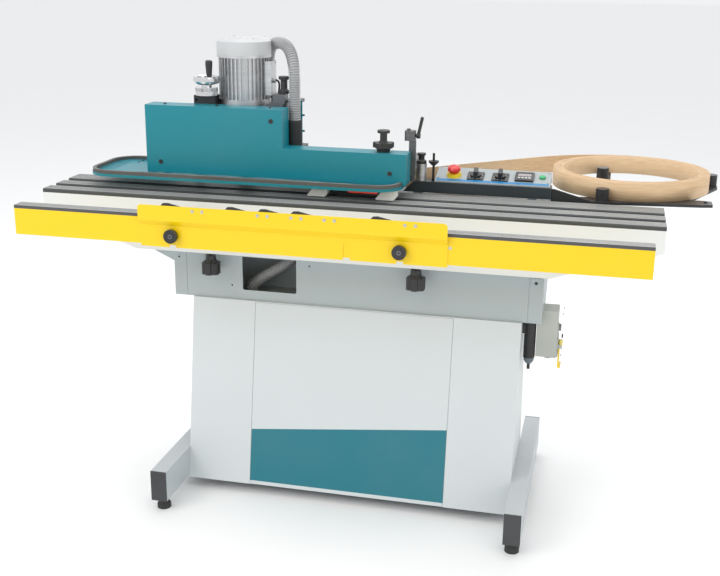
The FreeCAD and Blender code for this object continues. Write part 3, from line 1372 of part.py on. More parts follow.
def export_all():
    """Write one STEP file per sub-part."""
    os.makedirs("parts", exist_ok=True)
    for name, build in SUB_PARTS.items():
        shape = build()
        shape.translate(Vector(-FRAME_X, -FRAME_Y, 0))
        shape.exportStep("parts/" + name + ".step")


export_all()
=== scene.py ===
"""Looks of the edge banding machine: finishes for its parts and the fine detail that rides on them."""

import logging
import math
from dataclasses import dataclass
from enum import Enum
from typing import Iterable, Sequence

import bmesh
import bpy
from mathutils import Euler, Matrix, Vector

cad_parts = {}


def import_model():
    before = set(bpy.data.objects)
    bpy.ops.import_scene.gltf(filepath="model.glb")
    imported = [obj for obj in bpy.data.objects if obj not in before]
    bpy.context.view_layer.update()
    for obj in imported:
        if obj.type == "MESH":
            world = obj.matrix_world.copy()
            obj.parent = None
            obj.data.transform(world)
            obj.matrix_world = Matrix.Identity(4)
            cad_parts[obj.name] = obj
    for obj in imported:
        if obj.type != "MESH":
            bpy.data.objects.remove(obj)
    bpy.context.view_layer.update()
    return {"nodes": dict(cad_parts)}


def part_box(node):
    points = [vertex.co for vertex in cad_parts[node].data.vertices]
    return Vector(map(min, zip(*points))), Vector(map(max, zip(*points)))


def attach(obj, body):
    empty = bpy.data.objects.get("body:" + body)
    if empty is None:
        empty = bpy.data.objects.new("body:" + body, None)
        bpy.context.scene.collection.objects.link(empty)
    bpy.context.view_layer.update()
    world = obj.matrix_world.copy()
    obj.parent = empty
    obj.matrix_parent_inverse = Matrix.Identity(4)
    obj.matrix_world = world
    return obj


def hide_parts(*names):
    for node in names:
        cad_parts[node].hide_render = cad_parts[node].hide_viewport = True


LOG = logging.getLogger("edge_bander")
MM = 0.001

Colour = tuple[float, float, float]
Point = tuple[float, float, float]
Link = "bpy.types.NodeSocket | float | Sequence[float]"


class Facing(Enum):
    """Direction in which a fastener's head or a mark looks."""

    FRONT = (math.pi / 2, 0.0, 0.0)
    BACK = (-math.pi / 2, 0.0, 0.0)
    UP = (0.0, 0.0, 0.0)
    RIGHT = (0.0, math.pi / 2, 0.0)

    def matrix(self) -> Matrix:
        """Return the turn that brings an upward axis to this direction."""
        return Euler(self.value).to_matrix().to_4x4()


class HeadStyle(Enum):
    """Number of sides on a screw head: round with a socket, or hexagonal."""

    SOCKET = 24
    HEX = 6


class Wood(Enum):
    """The way wood grain runs over a piece."""

    AROUND_COIL = "around"
    ALONG_TAPE = "along"


# ------------------------------------------------------------------ node helpers
class Tree:
    """Short-hand for filling a node tree."""

    def __init__(self, tree: bpy.types.NodeTree) -> None:
        """Wrap a node tree.

        Args:
            tree: Tree that gets the nodes.
        """
        self.tree = tree

    def add(self, kind: str, inputs: dict | None = None, **settings: object) -> bpy.types.Node:
        """Add a node and fill its inputs.

        Args:
            kind: Node type name.
            inputs: Socket name or index mapped to a value or another socket.
            **settings: Properties set on the node before its inputs.

        Returns:
            The new node.
        """
        node = self.tree.nodes.new(kind)
        for name, value in settings.items():
            setattr(node, name, value)
        for key, value in (inputs or {}).items():
            self.feed(node.inputs[key], value)
        return node

    def feed(self, socket: bpy.types.NodeSocket, value: Link) -> None:
        """Link a socket to another one, or set its value.

        Args:
            socket: Input to fill.
            value: Output socket or plain value.
        """
        if isinstance(value, bpy.types.NodeSocket):
            self.tree.links.new(value, socket)
        else:
            socket.default_value = value

    def math(self, operation: str, first: Link, second: Link = 0.0) -> bpy.types.NodeSocket:
        """Return the result of a maths operation on two values."""
        node = self.add("ShaderNodeMath", {0: first, 1: second}, operation=operation)
        return node.outputs[0]

    def mix(self, factor: Link, first: Link, second: Link) -> bpy.types.NodeSocket:
        """Return a blend of two colours."""
        node = self.add("ShaderNodeMix", {0: factor, 6: first, 7: second}, data_type="RGBA")
        return node.outputs[2]

    def remap(self, value: Link, low: float, high: float,
              out_low: float = 0.0, out_high: float = 1.0) -> bpy.types.NodeSocket:
        """Return a value moved from one range into another."""
        node = self.add("ShaderNodeMapRange", {"Value": value, "From Min": low, "From Max": high,
                                               "To Min": out_low, "To Max": out_high})
        return node.outputs[0]


def rgba(colour: Colour) -> tuple[float, float, float, float]:
    """Return an opaque colour with its alpha."""
    return (colour[0], colour[1], colour[2], 1.0)


def new_group(name: str, kind: str, inputs: Iterable[tuple[str, str, object]],
              outputs: Iterable[tuple[str, str]]) -> tuple[Tree, bpy.types.Node, bpy.types.Node]:
    """Start a node group with named sockets.

    Args:
        name: Name of the group.
        kind: ShaderNodeTree or GeometryNodeTree.
        inputs: Name, socket type and default value of each input.
        outputs: Name and socket type of each output.

    Returns:
        The tree, its input node and its output node.
    """
    group = bpy.data.node_groups.new(name, kind)
    for label, socket_type, default in inputs:
        socket = group.interface.new_socket(name=label, in_out="INPUT", socket_type=socket_type)
        if default is not None:
            socket.default_value = default
    for label, socket_type in outputs:
        group.interface.new_socket(name=label, in_out="OUTPUT", socket_type=socket_type)
    tree = Tree(group)
    return tree, tree.add("NodeGroupInput"), tree.add("NodeGroupOutput")


# ------------------------------------------------------------------ shared effects
class Effects:
    """Shader node groups that several finishes share."""

    def __init__(self) -> None:
        """Build every group once."""
        self.grain = self.make_grain()
        self.wear = self.make_wear()
        self.dust = self.make_dust()
        self.brushed = self.make_brushed()

    @staticmethod
    def make_grain() -> bpy.types.NodeTree:
        """Return a group that gives fine surface relief and a slow colour drift."""
        tree, source, sink = new_group(
            "surface_grain", "ShaderNodeTree",
            [("Vector", "NodeSocketVector", None), ("Scale", "NodeSocketFloat", 900.0)],
            [("Height", "NodeSocketFloat"), ("Drift", "NodeSocketFloat")])
        fine = tree.add("ShaderNodeTexNoise", {"Vector": source.outputs["Vector"],
                                               "Scale": source.outputs["Scale"], "Detail": 3.0})
        slow_scale = 5.0
        slow = tree.add("ShaderNodeTexNoise", {"Vector": source.outputs["Vector"],
                                               "Scale": slow_scale, "Detail": 4.0})
        tree.feed(sink.inputs["Height"], fine.outputs[0])
        tree.feed(sink.inputs["Drift"], tree.remap(slow.outputs[0], 0.3, 0.7))
        return tree.tree

    @staticmethod
    def make_wear() -> bpy.types.NodeTree:
        """Return a group that marks rubbed edges."""
        tree, source, sink = new_group(
            "edge_wear", "ShaderNodeTree",
            [("Vector", "NodeSocketVector", None), ("Amount", "NodeSocketFloat", 0.3)],
            [("Mask", "NodeSocketFloat")])
        true_normal = tree.add("ShaderNodeNewGeometry").outputs["Normal"]
        rounded = tree.add("ShaderNodeBevel", {"Radius": 0.0015}, samples=4)
        agreement = tree.add("ShaderNodeVectorMath", {0: true_normal, 1: rounded.outputs[0]},
                             operation="DOT_PRODUCT")
        edge = tree.remap(agreement.outputs["Value"], 0.99, 0.86)
        breakup = tree.add("ShaderNodeTexNoise", {"Vector": source.outputs["Vector"],
                                                  "Scale": 60.0, "Detail": 5.0})
        patchy = tree.math("MULTIPLY", edge, tree.remap(breakup.outputs[0], 0.4, 0.6))
        tree.feed(sink.inputs["Mask"], tree.math("MULTIPLY", patchy, source.outputs["Amount"]))
        return tree.tree

    @staticmethod
    def make_dust() -> bpy.types.NodeTree:
        """Return a group that marks fine dust on faces that look up."""
        tree, source, sink = new_group(
            "settled_dust", "ShaderNodeTree",
            [("Vector", "NodeSocketVector", None), ("Amount", "NodeSocketFloat", 0.2)],
            [("Mask", "NodeSocketFloat")])
        geometry = tree.add("ShaderNodeNewGeometry")
        parts = tree.add("ShaderNodeSeparateXYZ", {0: geometry.outputs["Normal"]})
        upward = tree.remap(parts.outputs[2], 0.5, 1.0)
        cloud = tree.add("ShaderNodeTexNoise", {"Vector": source.outputs["Vector"],
                                                "Scale": 14.0, "Detail": 6.0})
        layer = tree.math("MULTIPLY", upward, tree.remap(cloud.outputs[0], 0.35, 0.75))
        tree.feed(sink.inputs["Mask"], tree.math("MULTIPLY", layer, source.outputs["Amount"]))
        return tree.tree

    @staticmethod
    def make_brushed() -> bpy.types.NodeTree:
        """Return a group that gives fine parallel tool marks."""
        tree, source, sink = new_group(
            "tool_marks", "ShaderNodeTree",
            [("Vector", "NodeSocketVector", None), ("Scale", "NodeSocketFloat", 300.0)],
            [("Height", "NodeSocketFloat"), ("Streaks", "NodeSocketFloat")])
        along = 0.03
        stretched = tree.add("ShaderNodeMapping", {"Vector": source.outputs["Vector"],
                                                   "Scale": (along, 1.0, 1.0)})
        noise = tree.add("ShaderNodeTexNoise", {"Vector": stretched.outputs[0],
                                                "Scale": source.outputs["Scale"],
                                                "Detail": 4.0})
        tree.feed(sink.inputs["Height"], noise.outputs[0])
        tree.feed(sink.inputs["Streaks"], tree.remap(noise.outputs[0], 0.3, 0.7))
        return tree.tree


# ------------------------------------------------------------------ finishes
class Surface:
    """A material under construction: its tree, its shader and its pattern space."""

    def __init__(self, name: str) -> None:
        """Start an empty material.

        Args:
            name: Name of the material.
        """
        self.material = bpy.data.materials.new(name)
        self.material.use_nodes = True
        self.material.node_tree.nodes.clear()
        self.tree = Tree(self.material.node_tree)
        output = self.tree.add("ShaderNodeOutputMaterial")
        self.shader = self.tree.add("ShaderNodeBsdfPrincipled")
        self.tree.feed(output.inputs["Surface"], self.shader.outputs[0])
        self.space = self.tree.add("ShaderNodeTexCoord").outputs["Object"]

    def group(self, group: bpy.types.NodeTree, **values: Link) -> bpy.types.Node:
        """Place a shared effect.

        Args:
            group: The effect's node group.
            **values: Values of its inputs, by name.

        Returns:
            The group node.
        """
        node = self.tree.add("ShaderNodeGroup", node_tree=group)
        self.tree.feed(node.inputs["Vector"], self.space)
        for name, value in values.items():
            self.tree.feed(node.inputs[name], value)
        return node

    def relief(self, height: Link, strength: float, depth: float) -> None:
        """Give the surface a small relief.

        Args:
            height: Socket with the relief's height.
            strength: How strongly it shows.
            depth: Depth of the relief in metres.
        """
        bump = self.tree.add("ShaderNodeBump", {"Height": height, "Strength": strength,
                                                "Distance": depth})
        self.tree.feed(self.shader.inputs["Normal"], bump.outputs[0])

    def separate(self) -> tuple:
        """Return the X, Y and Z of the pattern space."""
        return tuple(self.tree.add("ShaderNodeSeparateXYZ", {0: self.space}).outputs)


@dataclass(frozen=True)
class Paint:
    """Sprayed or powder paint with a fine orange peel, light wear and dust."""

    name: str
    colour: Colour
    roughness: float = 0.42
    peel: float = 0.12
    wear: float = 0.25
    dust: float = 0.12
    drift: float = 0.05

    def build(self, effects: Effects) -> bpy.types.Material:
        """Return the material."""
        surface = Surface(self.name)
        self.dress(surface, effects, rgba(self.colour))
        return surface.material

    def dress(self, surface: Surface, effects: Effects, base: Link) -> None:
        """Add wear, dust and relief to a base colour.

        Args:
            surface: Material that is being made.
            effects: Shared node groups.
            base: Base colour or a socket that gives it.
        """
        tree = surface.tree
        grain = surface.group(effects.grain, Scale=700.0)
        wear = surface.group(effects.wear, Amount=self.wear)
        dust = surface.group(effects.dust, Amount=self.dust)
        shade = tree.math("MULTIPLY", grain.outputs["Drift"], self.drift)
        aged = tree.mix(shade, base, (0.35, 0.34, 0.32, 1.0))
        rubbed = tree.mix(wear.outputs["Mask"], aged, (0.62, 0.62, 0.61, 1.0))
        dusty = tree.mix(dust.outputs["Mask"], rubbed, (0.66, 0.61, 0.53, 1.0))
        tree.feed(surface.shader.inputs["Base Color"], dusty)
        rough = tree.remap(grain.outputs["Drift"], 0.0, 1.0, self.roughness - 0.05,
                           self.roughness + 0.07)
        tree.feed(surface.shader.inputs["Roughness"], rough)
        surface.relief(grain.outputs["Height"], self.peel, 0.0004)


@dataclass(frozen=True)
class TwoTonePanel:
    """White panel paint with a teal field whose upper edge slants."""

    name: str
    upper: Colour
    lower: Colour
    field_left: Point
    field_right: Point
    field_floor: float

    def build(self, effects: Effects) -> bpy.types.Material:
        """Return the material."""
        surface = Surface(self.name)
        tree = surface.tree
        x, _, z = surface.separate()
        rise = self.field_right[2] - self.field_left[2]
        slope = rise / (self.field_right[0] - self.field_left[0])
        start = self.field_left[2] - slope * self.field_left[0]
        line = tree.math("ADD", tree.math("MULTIPLY", x, slope), start)
        below = tree.math("LESS_THAN", z, line)
        above = tree.math("GREATER_THAN", z, self.field_floor)
        field = tree.math("MULTIPLY", below, above)
        base = tree.mix(field, rgba(self.upper), rgba(self.lower))
        Paint(self.name, self.upper, dust=0.0).dress(surface, effects, base)
        return surface.material


@dataclass(frozen=True)
class Metal:
    """Bare metal with tool marks."""

    name: str
    colour: Colour
    roughness: float = 0.32
    marks: float = 0.1
    scale: float = 300.0

    def build(self, effects: Effects) -> bpy.types.Material:
        """Return the material."""
        surface = Surface(self.name)
        tree = surface.tree
        marks = surface.group(effects.brushed, Scale=self.scale)
        dust = surface.group(effects.dust, Amount=0.1)
        darker = tuple(channel * 0.78 for channel in self.colour)
        streaked = tree.mix(marks.outputs["Streaks"], rgba(darker), rgba(self.colour))
        base = tree.mix(dust.outputs["Mask"], streaked, (0.6, 0.56, 0.5, 1.0))
        tree.feed(surface.shader.inputs["Base Color"], base)
        surface.shader.inputs["Metallic"].default_value = 1.0
        rough = tree.remap(marks.outputs["Streaks"], 0.0, 1.0, self.roughness * 0.8,
                           self.roughness * 1.25)
        tree.feed(surface.shader.inputs["Roughness"], rough)
        surface.relief(marks.outputs["Height"], self.marks, 0.0003)
        return surface.material


@dataclass(frozen=True)
class Plastic:
    """Moulded plastic or rubber with a fine grain."""

    name: str
    colour: Colour
    roughness: float = 0.45
    grain: float = 0.2
    scale: float = 1200.0
    dust: float = 0.15
    coat: float = 0.0

    def build(self, effects: Effects) -> bpy.types.Material:
        """Return the material."""
        surface = Surface(self.name)
        tree = surface.tree
        grain = surface.group(effects.grain, Scale=self.scale)
        wear = surface.group(effects.wear, Amount=0.2)
        dust = surface.group(effects.dust, Amount=self.dust)
        lighter = tuple(min(1.0, channel * 1.25 + 0.015) for channel in self.colour)
        base = tree.mix(grain.outputs["Drift"], rgba(self.colour), rgba(lighter))
        rubbed = tree.mix(wear.outputs["Mask"], base, (0.45, 0.45, 0.45, 1.0))
        dusty = tree.mix(dust.outputs["Mask"], rubbed, (0.55, 0.5, 0.43, 1.0))
        tree.feed(surface.shader.inputs["Base Color"], dusty)
        rough = tree.remap(grain.outputs["Drift"], 0.0, 1.0, self.roughness - 0.05,
                           self.roughness + 0.08)
        tree.feed(surface.shader.inputs["Roughness"], rough)
        surface.shader.inputs["Coat Weight"].default_value = self.coat
        surface.relief(grain.outputs["Height"], self.grain, 0.0003)
        return surface.material


@dataclass(frozen=True)
class RibbedStrip:
    """Grey support strip: worn grooved top, with a dark painted shade on the faces that do not look up, such as
    its front edge.
    """

    name: str
    top: Colour
    # edge: colour of the painted shade on the strip's side and front faces, not a material of its own.
    edge: Colour

    def build(self, effects: Effects) -> bpy.types.Material:
        """Return the material."""
        surface = Surface(self.name)
        tree = surface.tree
        grain = surface.group(effects.grain, Scale=500.0)
        marks = surface.group(effects.brushed, Scale=90.0)
        normal = tree.add("ShaderNodeNewGeometry").outputs["Normal"]
        facing = tree.add("ShaderNodeSeparateXYZ", {0: normal})
        # Faces that look up keep the top colour; steeper faces get the dark painted shade colour.
        flat = tree.remap(facing.outputs[2], 0.8, 0.97)
        scuffed = tree.math("MULTIPLY", marks.outputs["Streaks"], 0.35)
        top = tree.mix(scuffed, rgba(self.top), (0.66, 0.65, 0.62, 1.0))
        base = tree.mix(flat, rgba(self.edge), top)
        tree.feed(surface.shader.inputs["Base Color"], base)
        tree.feed(surface.shader.inputs["Roughness"],
                  tree.remap(grain.outputs["Drift"], 0.0, 1.0, 0.38, 0.55))
        surface.relief(grain.outputs["Height"], 0.15, 0.0004)
        return surface.material


@dataclass(frozen=True)
class WoodEdging:
    """Pale oak edging with long pores."""

    name: str
    light: Colour
    dark: Colour
    run: Wood
    centre: tuple[float, float] = (0.0, 0.0)

    def build(self, effects: Effects) -> bpy.types.Material:
        """Return the material."""
        surface = Surface(self.name)
        tree = surface.tree
        x, y, z = surface.separate()
        if self.run is Wood.AROUND_COIL:
            across_x = tree.math("SUBTRACT", x, self.centre[0])
            across_y = tree.math("SUBTRACT", y, self.centre[1])
            angle = tree.math("ARCTAN2", across_y, across_x)
            radius = tree.math("SQRT", tree.math("ADD", tree.math("MULTIPLY", across_x, across_x),
                                                 tree.math("MULTIPLY", across_y, across_y)))
            along = tree.math("MULTIPLY", angle, 0.22)
        else:
            radius = tree.math("MULTIPLY", y, 0.2)
            along = tree.math("ADD", x, tree.math("MULTIPLY", y, 0.5))
        place = tree.add("ShaderNodeCombineXYZ", {0: tree.math("MULTIPLY", along, 0.05),
                                                  1: z, 2: tree.math("MULTIPLY", radius, 0.6)})
        pores = tree.add("ShaderNodeTexNoise", {"Vector": place.outputs[0], "Scale": 420.0,
                                                "Detail": 4.0})
        figure = tree.add("ShaderNodeTexNoise", {"Vector": place.outputs[0], "Scale": 70.0,
                                                 "Detail": 3.0, "Distortion": 0.6})
        blend = tree.math("MULTIPLY", tree.remap(pores.outputs[0], 0.35, 0.7),
                          tree.remap(figure.outputs[0], 0.2, 0.8, 0.4, 1.0))
        base = tree.mix(blend, rgba(self.light), rgba(self.dark))
        dust = surface.group(effects.dust, Amount=0.05)
        tree.feed(surface.shader.inputs["Base Color"],
                  tree.mix(dust.outputs["Mask"], base, (0.8, 0.75, 0.66, 1.0)))
        tree.feed(surface.shader.inputs["Roughness"], tree.remap(blend, 0.0, 1.0, 0.5, 0.68))
        surface.relief(blend, 0.25, 0.0003)
        return surface.material


@dataclass(frozen=True)
class Window:
    """Lit display glass with a row of plain bars."""

    name: str
    glow: Colour
    strength: float

    def build(self, effects: Effects) -> bpy.types.Material:
        """Return the material."""
        surface = Surface(self.name)
        tree = surface.tree
        x, _, _ = surface.separate()
        bars = tree.math("SINE", tree.math("MULTIPLY", x, 1500.0))
        lit = tree.math("LESS_THAN", bars, 0.75)
        grain = surface.group(effects.grain, Scale=900.0)
        dark = tuple(channel * 0.25 for channel in self.glow)
        colour = tree.mix(lit, rgba(dark), rgba(self.glow))
        tree.feed(surface.shader.inputs["Base Color"], colour)
        tree.feed(surface.shader.inputs["Emission Color"], colour)
        surface.shader.inputs["Emission Strength"].default_value = self.strength
        tree.feed(surface.shader.inputs["Roughness"],
                  tree.remap(grain.outputs["Drift"], 0.0, 1.0, 0.1, 0.2))
        surface.shader.inputs["Coat Weight"].default_value = 0.5
        return surface.material


class Palette:
    """All finishes of the machine, by name."""

    def __init__(self) -> None:
        """Build the finishes from the sizes of the parts they cover."""
        effects = Effects()
        panel_low, panel_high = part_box("cabinet_front_panel")
        filter_low, filter_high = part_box("air_filter")
        coil_low, coil_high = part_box("edging_coil")
        coil_centre = ((coil_low[0] + coil_high[0]) / 2, (coil_low[1] + coil_high[1]) / 2)
        oak = (0.74, 0.53, 0.32)
        oak_dark = (0.57, 0.37, 0.20)
        finishes = [
            Paint("light_paint", (0.62, 0.66, 0.67), roughness=0.4, peel=0.14),
            Paint("beam_paint", (0.50, 0.54, 0.56), roughness=0.45, peel=0.2),
            Paint("box_paint", (0.40, 0.45, 0.46), roughness=0.4, peel=0.14),
            Paint("table_white", (0.76, 0.78, 0.78), roughness=0.38, wear=0.2),
            Paint("teal_paint", (0.0036, 0.228, 0.288), roughness=0.34, peel=0.1, wear=0.15, dust=0.04,
                  drift=0.02),
            Paint("yellow_paint", (0.90, 0.62, 0.004), roughness=0.36, peel=0.08, wear=0.12, dust=0.01,
                  drift=0.01),
            Paint("black_paint", (0.016, 0.017, 0.018), roughness=0.42, wear=0.25, dust=0.06,
                  drift=0.02),
            Paint("slate_paint", (0.022, 0.032, 0.036), roughness=0.4, wear=0.25, dust=0.05,
                  drift=0.02),
            Paint("desk_paint", (0.36, 0.40, 0.41), roughness=0.4, dust=0.04),
            Paint("desk_stripe", (0.01, 0.20, 0.45), roughness=0.35, dust=0.02),
            TwoTonePanel("front_panel_paint", (0.62, 0.66, 0.67), (0.003, 0.17, 0.22),
                         (panel_low[0], panel_low[1], 0.199), (panel_high[0], panel_low[1], 0.257),
                         0.042),
            TwoTonePanel("filter_finish", (0.014, 0.014, 0.015), (0.13, 0.16, 0.19),
                         (filter_low[0], filter_low[1], 0.4675), (filter_high[0], filter_low[1], 0.4675),
                         0.4505),
            Metal("machined_steel", (0.56, 0.56, 0.57), roughness=0.34),
            Metal("dark_steel", (0.20, 0.20, 0.21), roughness=0.42, marks=0.2),
            Metal("chrome", (0.82, 0.82, 0.83), roughness=0.12, marks=0.03),
            Metal("cast_aluminium", (0.68, 0.69, 0.70), roughness=0.42, marks=0.25, scale=120.0),
            Metal("zinc_screw", (0.70, 0.69, 0.64), roughness=0.28),
            Plastic("black_plastic", (0.014, 0.014, 0.015), roughness=0.4),
            Plastic("cowl_plastic", (0.50, 0.51, 0.52), roughness=0.42, dust=0.1),
            Plastic("grey_plastic", (0.16, 0.17, 0.18), roughness=0.5),
            Plastic("light_plastic", (0.40, 0.42, 0.39), roughness=0.45),
            Plastic("cap_plastic", (0.035, 0.037, 0.04), roughness=0.5),
            Plastic("hose_plastic", (0.33, 0.335, 0.34), roughness=0.3, dust=0.08, coat=0.3),
            Plastic("nylon", (0.80, 0.79, 0.74), roughness=0.5),
            Plastic("red_plastic", (0.62, 0.012, 0.01), roughness=0.3, dust=0.03, coat=0.3),
            Plastic("yellow_plastic", (0.85, 0.62, 0.02), roughness=0.35, dust=0.03),
            Plastic("green_plastic", (0.02, 0.36, 0.12), roughness=0.35, dust=0.03),
            Plastic("white_mark", (0.80, 0.80, 0.80), roughness=0.5, dust=0.0),
            Plastic("edging_rubber", (0.085, 0.085, 0.08), roughness=0.65, grain=0.6, scale=500.0, dust=0.5),
            Plastic("black_rubber", (0.02, 0.02, 0.02), roughness=0.7, grain=0.4, scale=700.0),
            # The second colour of each strip finish is painted shade on the strip's side and front faces.
            RibbedStrip("ribbed_strip", (0.27, 0.275, 0.265), (0.055, 0.06, 0.06)),
            RibbedStrip("bar_strip_finish", (0.36, 0.37, 0.355), (0.075, 0.075, 0.078)),
            WoodEdging("coil_wood", oak, oak_dark, Wood.AROUND_COIL, coil_centre),
            WoodEdging("tape_wood", oak, oak_dark, Wood.ALONG_TAPE),
            Window("display_glass", (0.40, 0.37, 0.36), 0.15),
        ]
        self.materials = {finish.name: finish.build(effects) for finish in finishes}

    def __getitem__(self, name: str) -> bpy.types.Material:
        """Return a finish by name."""
        return self.materials[name]


NODE_FINISHES = {
    "light_paint": ["cabinet_shell"],
    "front_panel_paint": ["cabinet_front_panel"],
    "beam_paint": ["foot_beams"],
    "box_paint": ["upper_box", "rear_bridge"],
    "table_white": ["table_bed"],
    "desk_paint": ["console_desk"],
    "teal_paint": ["hood_cover", "hose_bracket", "guard_plate"],
    "yellow_paint": ["support_bar", "stop_plate"],
    "black_paint": ["coil_holder", "handwheel_block", "guide_rod", "clamp_lever"],
    "slate_paint": ["console_base"],
    "filter_finish": ["air_filter"],
    "machined_steel": ["arm_guides", "head_columns", "support_arms", "motor_rotor"],
    "dark_steel": ["head_frame"],
    "chrome": ["handwheel"],
    "cast_aluminium": ["motor_body", "terminal_box", "regulator_body"],
    "black_plastic": ["handwheel_grip", "fine_adjust_knob", "limit_knob", "plate_knob_left", "plate_knob_right",
                      "arm_knob_left", "arm_knob_right", "stop_fingers", "coil_posts", "console_plates",
                      "rotary_switch_left", "rotary_switch_right", "regulator_knob"],
    "cowl_plastic": ["motor_cowl"],
    "grey_plastic": ["start_button"],
    "cap_plastic": ["foot_end_caps"],
    "light_plastic": ["electric_box"],
    "nylon": ["pressure_shoes"],
    "red_plastic": ["stop_button"],
    "yellow_plastic": ["stop_button_collar", "switch_flap"],
    "edging_rubber": ["guard_edging"],
    "black_rubber": ["levelling_feet", "hose_cuffs", "pressure_roller"],
    "ribbed_strip": ["table_strips"],
    "bar_strip_finish": ["bar_strip"],
    "tape_wood": ["edging_tape"],
}


# ------------------------------------------------------------------ pieces made by rule
def point_mesh(name: str, points: Iterable[Sequence[float]]) -> bpy.types.Object:
    """Return an object whose mesh is a set of loose points."""
    mesh = bpy.data.meshes.new(name)
    mesh.from_pydata([tuple(point) for point in points], [], [])
    host = bpy.data.objects.new(name, mesh)
    bpy.context.scene.collection.objects.link(host)
    return host


def grow(host: bpy.types.Object, tree: bpy.types.NodeTree, values: dict[str, object]) -> bpy.types.Object:
    """Run a Geometry Nodes tree on an object and keep the result as its plain mesh.

    Args:
        host: Object whose mesh feeds the tree.
        tree: Geometry Nodes tree.
        values: Values of the tree's inputs, by name.

    Returns:
        The same object with the finished mesh.
    """
    modifier = host.modifiers.new("grow", "NODES")
    modifier.node_group = tree
    for item in tree.interface.items_tree:
        if item.item_type == "SOCKET" and item.in_out == "INPUT" and item.name in values:
            modifier[item.identifier] = values[item.name]
    bpy.context.view_layer.update()
    graph = bpy.context.evaluated_depsgraph_get()
    finished = bpy.data.meshes.new_from_object(host.evaluated_get(graph), depsgraph=graph)
    host.modifiers.clear()
    host.data = finished
    return host


def placed(name: str, build: "bmesh.types.BMesh", material: bpy.types.Material) -> bpy.types.Object:
    """Return an object made from a finished bmesh."""
    bmesh.ops.recalc_face_normals(build, faces=build.faces)
    mesh = bpy.data.meshes.new(name)
    build.to_mesh(mesh)
    build.free()
    mesh.materials.append(material)
    piece = bpy.data.objects.new(name, mesh)
    bpy.context.scene.collection.objects.link(piece)
    return piece


def soft_block(name: str, low: Point, high: Point, bevel: float, material: bpy.types.Material,
               turn: Matrix | None = None) -> bpy.types.Object:
    """Return a block with rounded edges.

    Args:
        name: Name of the piece.
        low: Lowest corner before it is turned.
        high: Highest corner before it is turned.
        bevel: Radius of its edges.
        material: Its finish.
        turn: Placing matrix, or none.

    Returns:
        The new piece.
    """
    build = bmesh.new()
    bmesh.ops.create_cube(build, size=1.0)
    size = [high[i] - low[i] for i in range(3)]
    middle = [(high[i] + low[i]) / 2 for i in range(3)]
    bmesh.ops.transform(build, matrix=Matrix.Translation(middle) @ Matrix.Diagonal((*size, 1.0)),
                        verts=build.verts)
    bmesh.ops.bevel(build, geom=build.edges[:], offset=bevel, segments=2, profile=0.5,
                    affect="EDGES")
    if turn is not None:
        bmesh.ops.transform(build, matrix=turn, verts=build.verts)
    return placed(name, build, material)


def soft_disc(name: str, radius: float, height: float, bevel: float, material: bpy.types.Material,
              turn: Matrix) -> bpy.types.Object:
    """Return a short round button that stands on a surface, with a rounded top edge.

    Args:
        name: Name of the piece.
        radius: Its radius.
        height: How far it stands out.
        bevel: Radius of its edges.
        material: Its finish.
        turn: Matrix that brings its foot and its upward axis into place.

    Returns:
        The new piece.
    """
    build = bmesh.new()
    bmesh.ops.create_cone(build, cap_ends=True, segments=32, radius1=radius, radius2=radius,
                          depth=height)
    rims = [edge for edge in build.edges if len(edge.link_faces[0].verts) != len(edge.link_faces[1].verts)]
    bmesh.ops.bevel(build, geom=rims, offset=bevel, segments=3, profile=0.5, affect="EDGES")
    bmesh.ops.transform(build, matrix=turn @ Matrix.Translation((0.0, 0.0, height / 2)),
                        verts=build.verts)
    return placed(name, build, material)


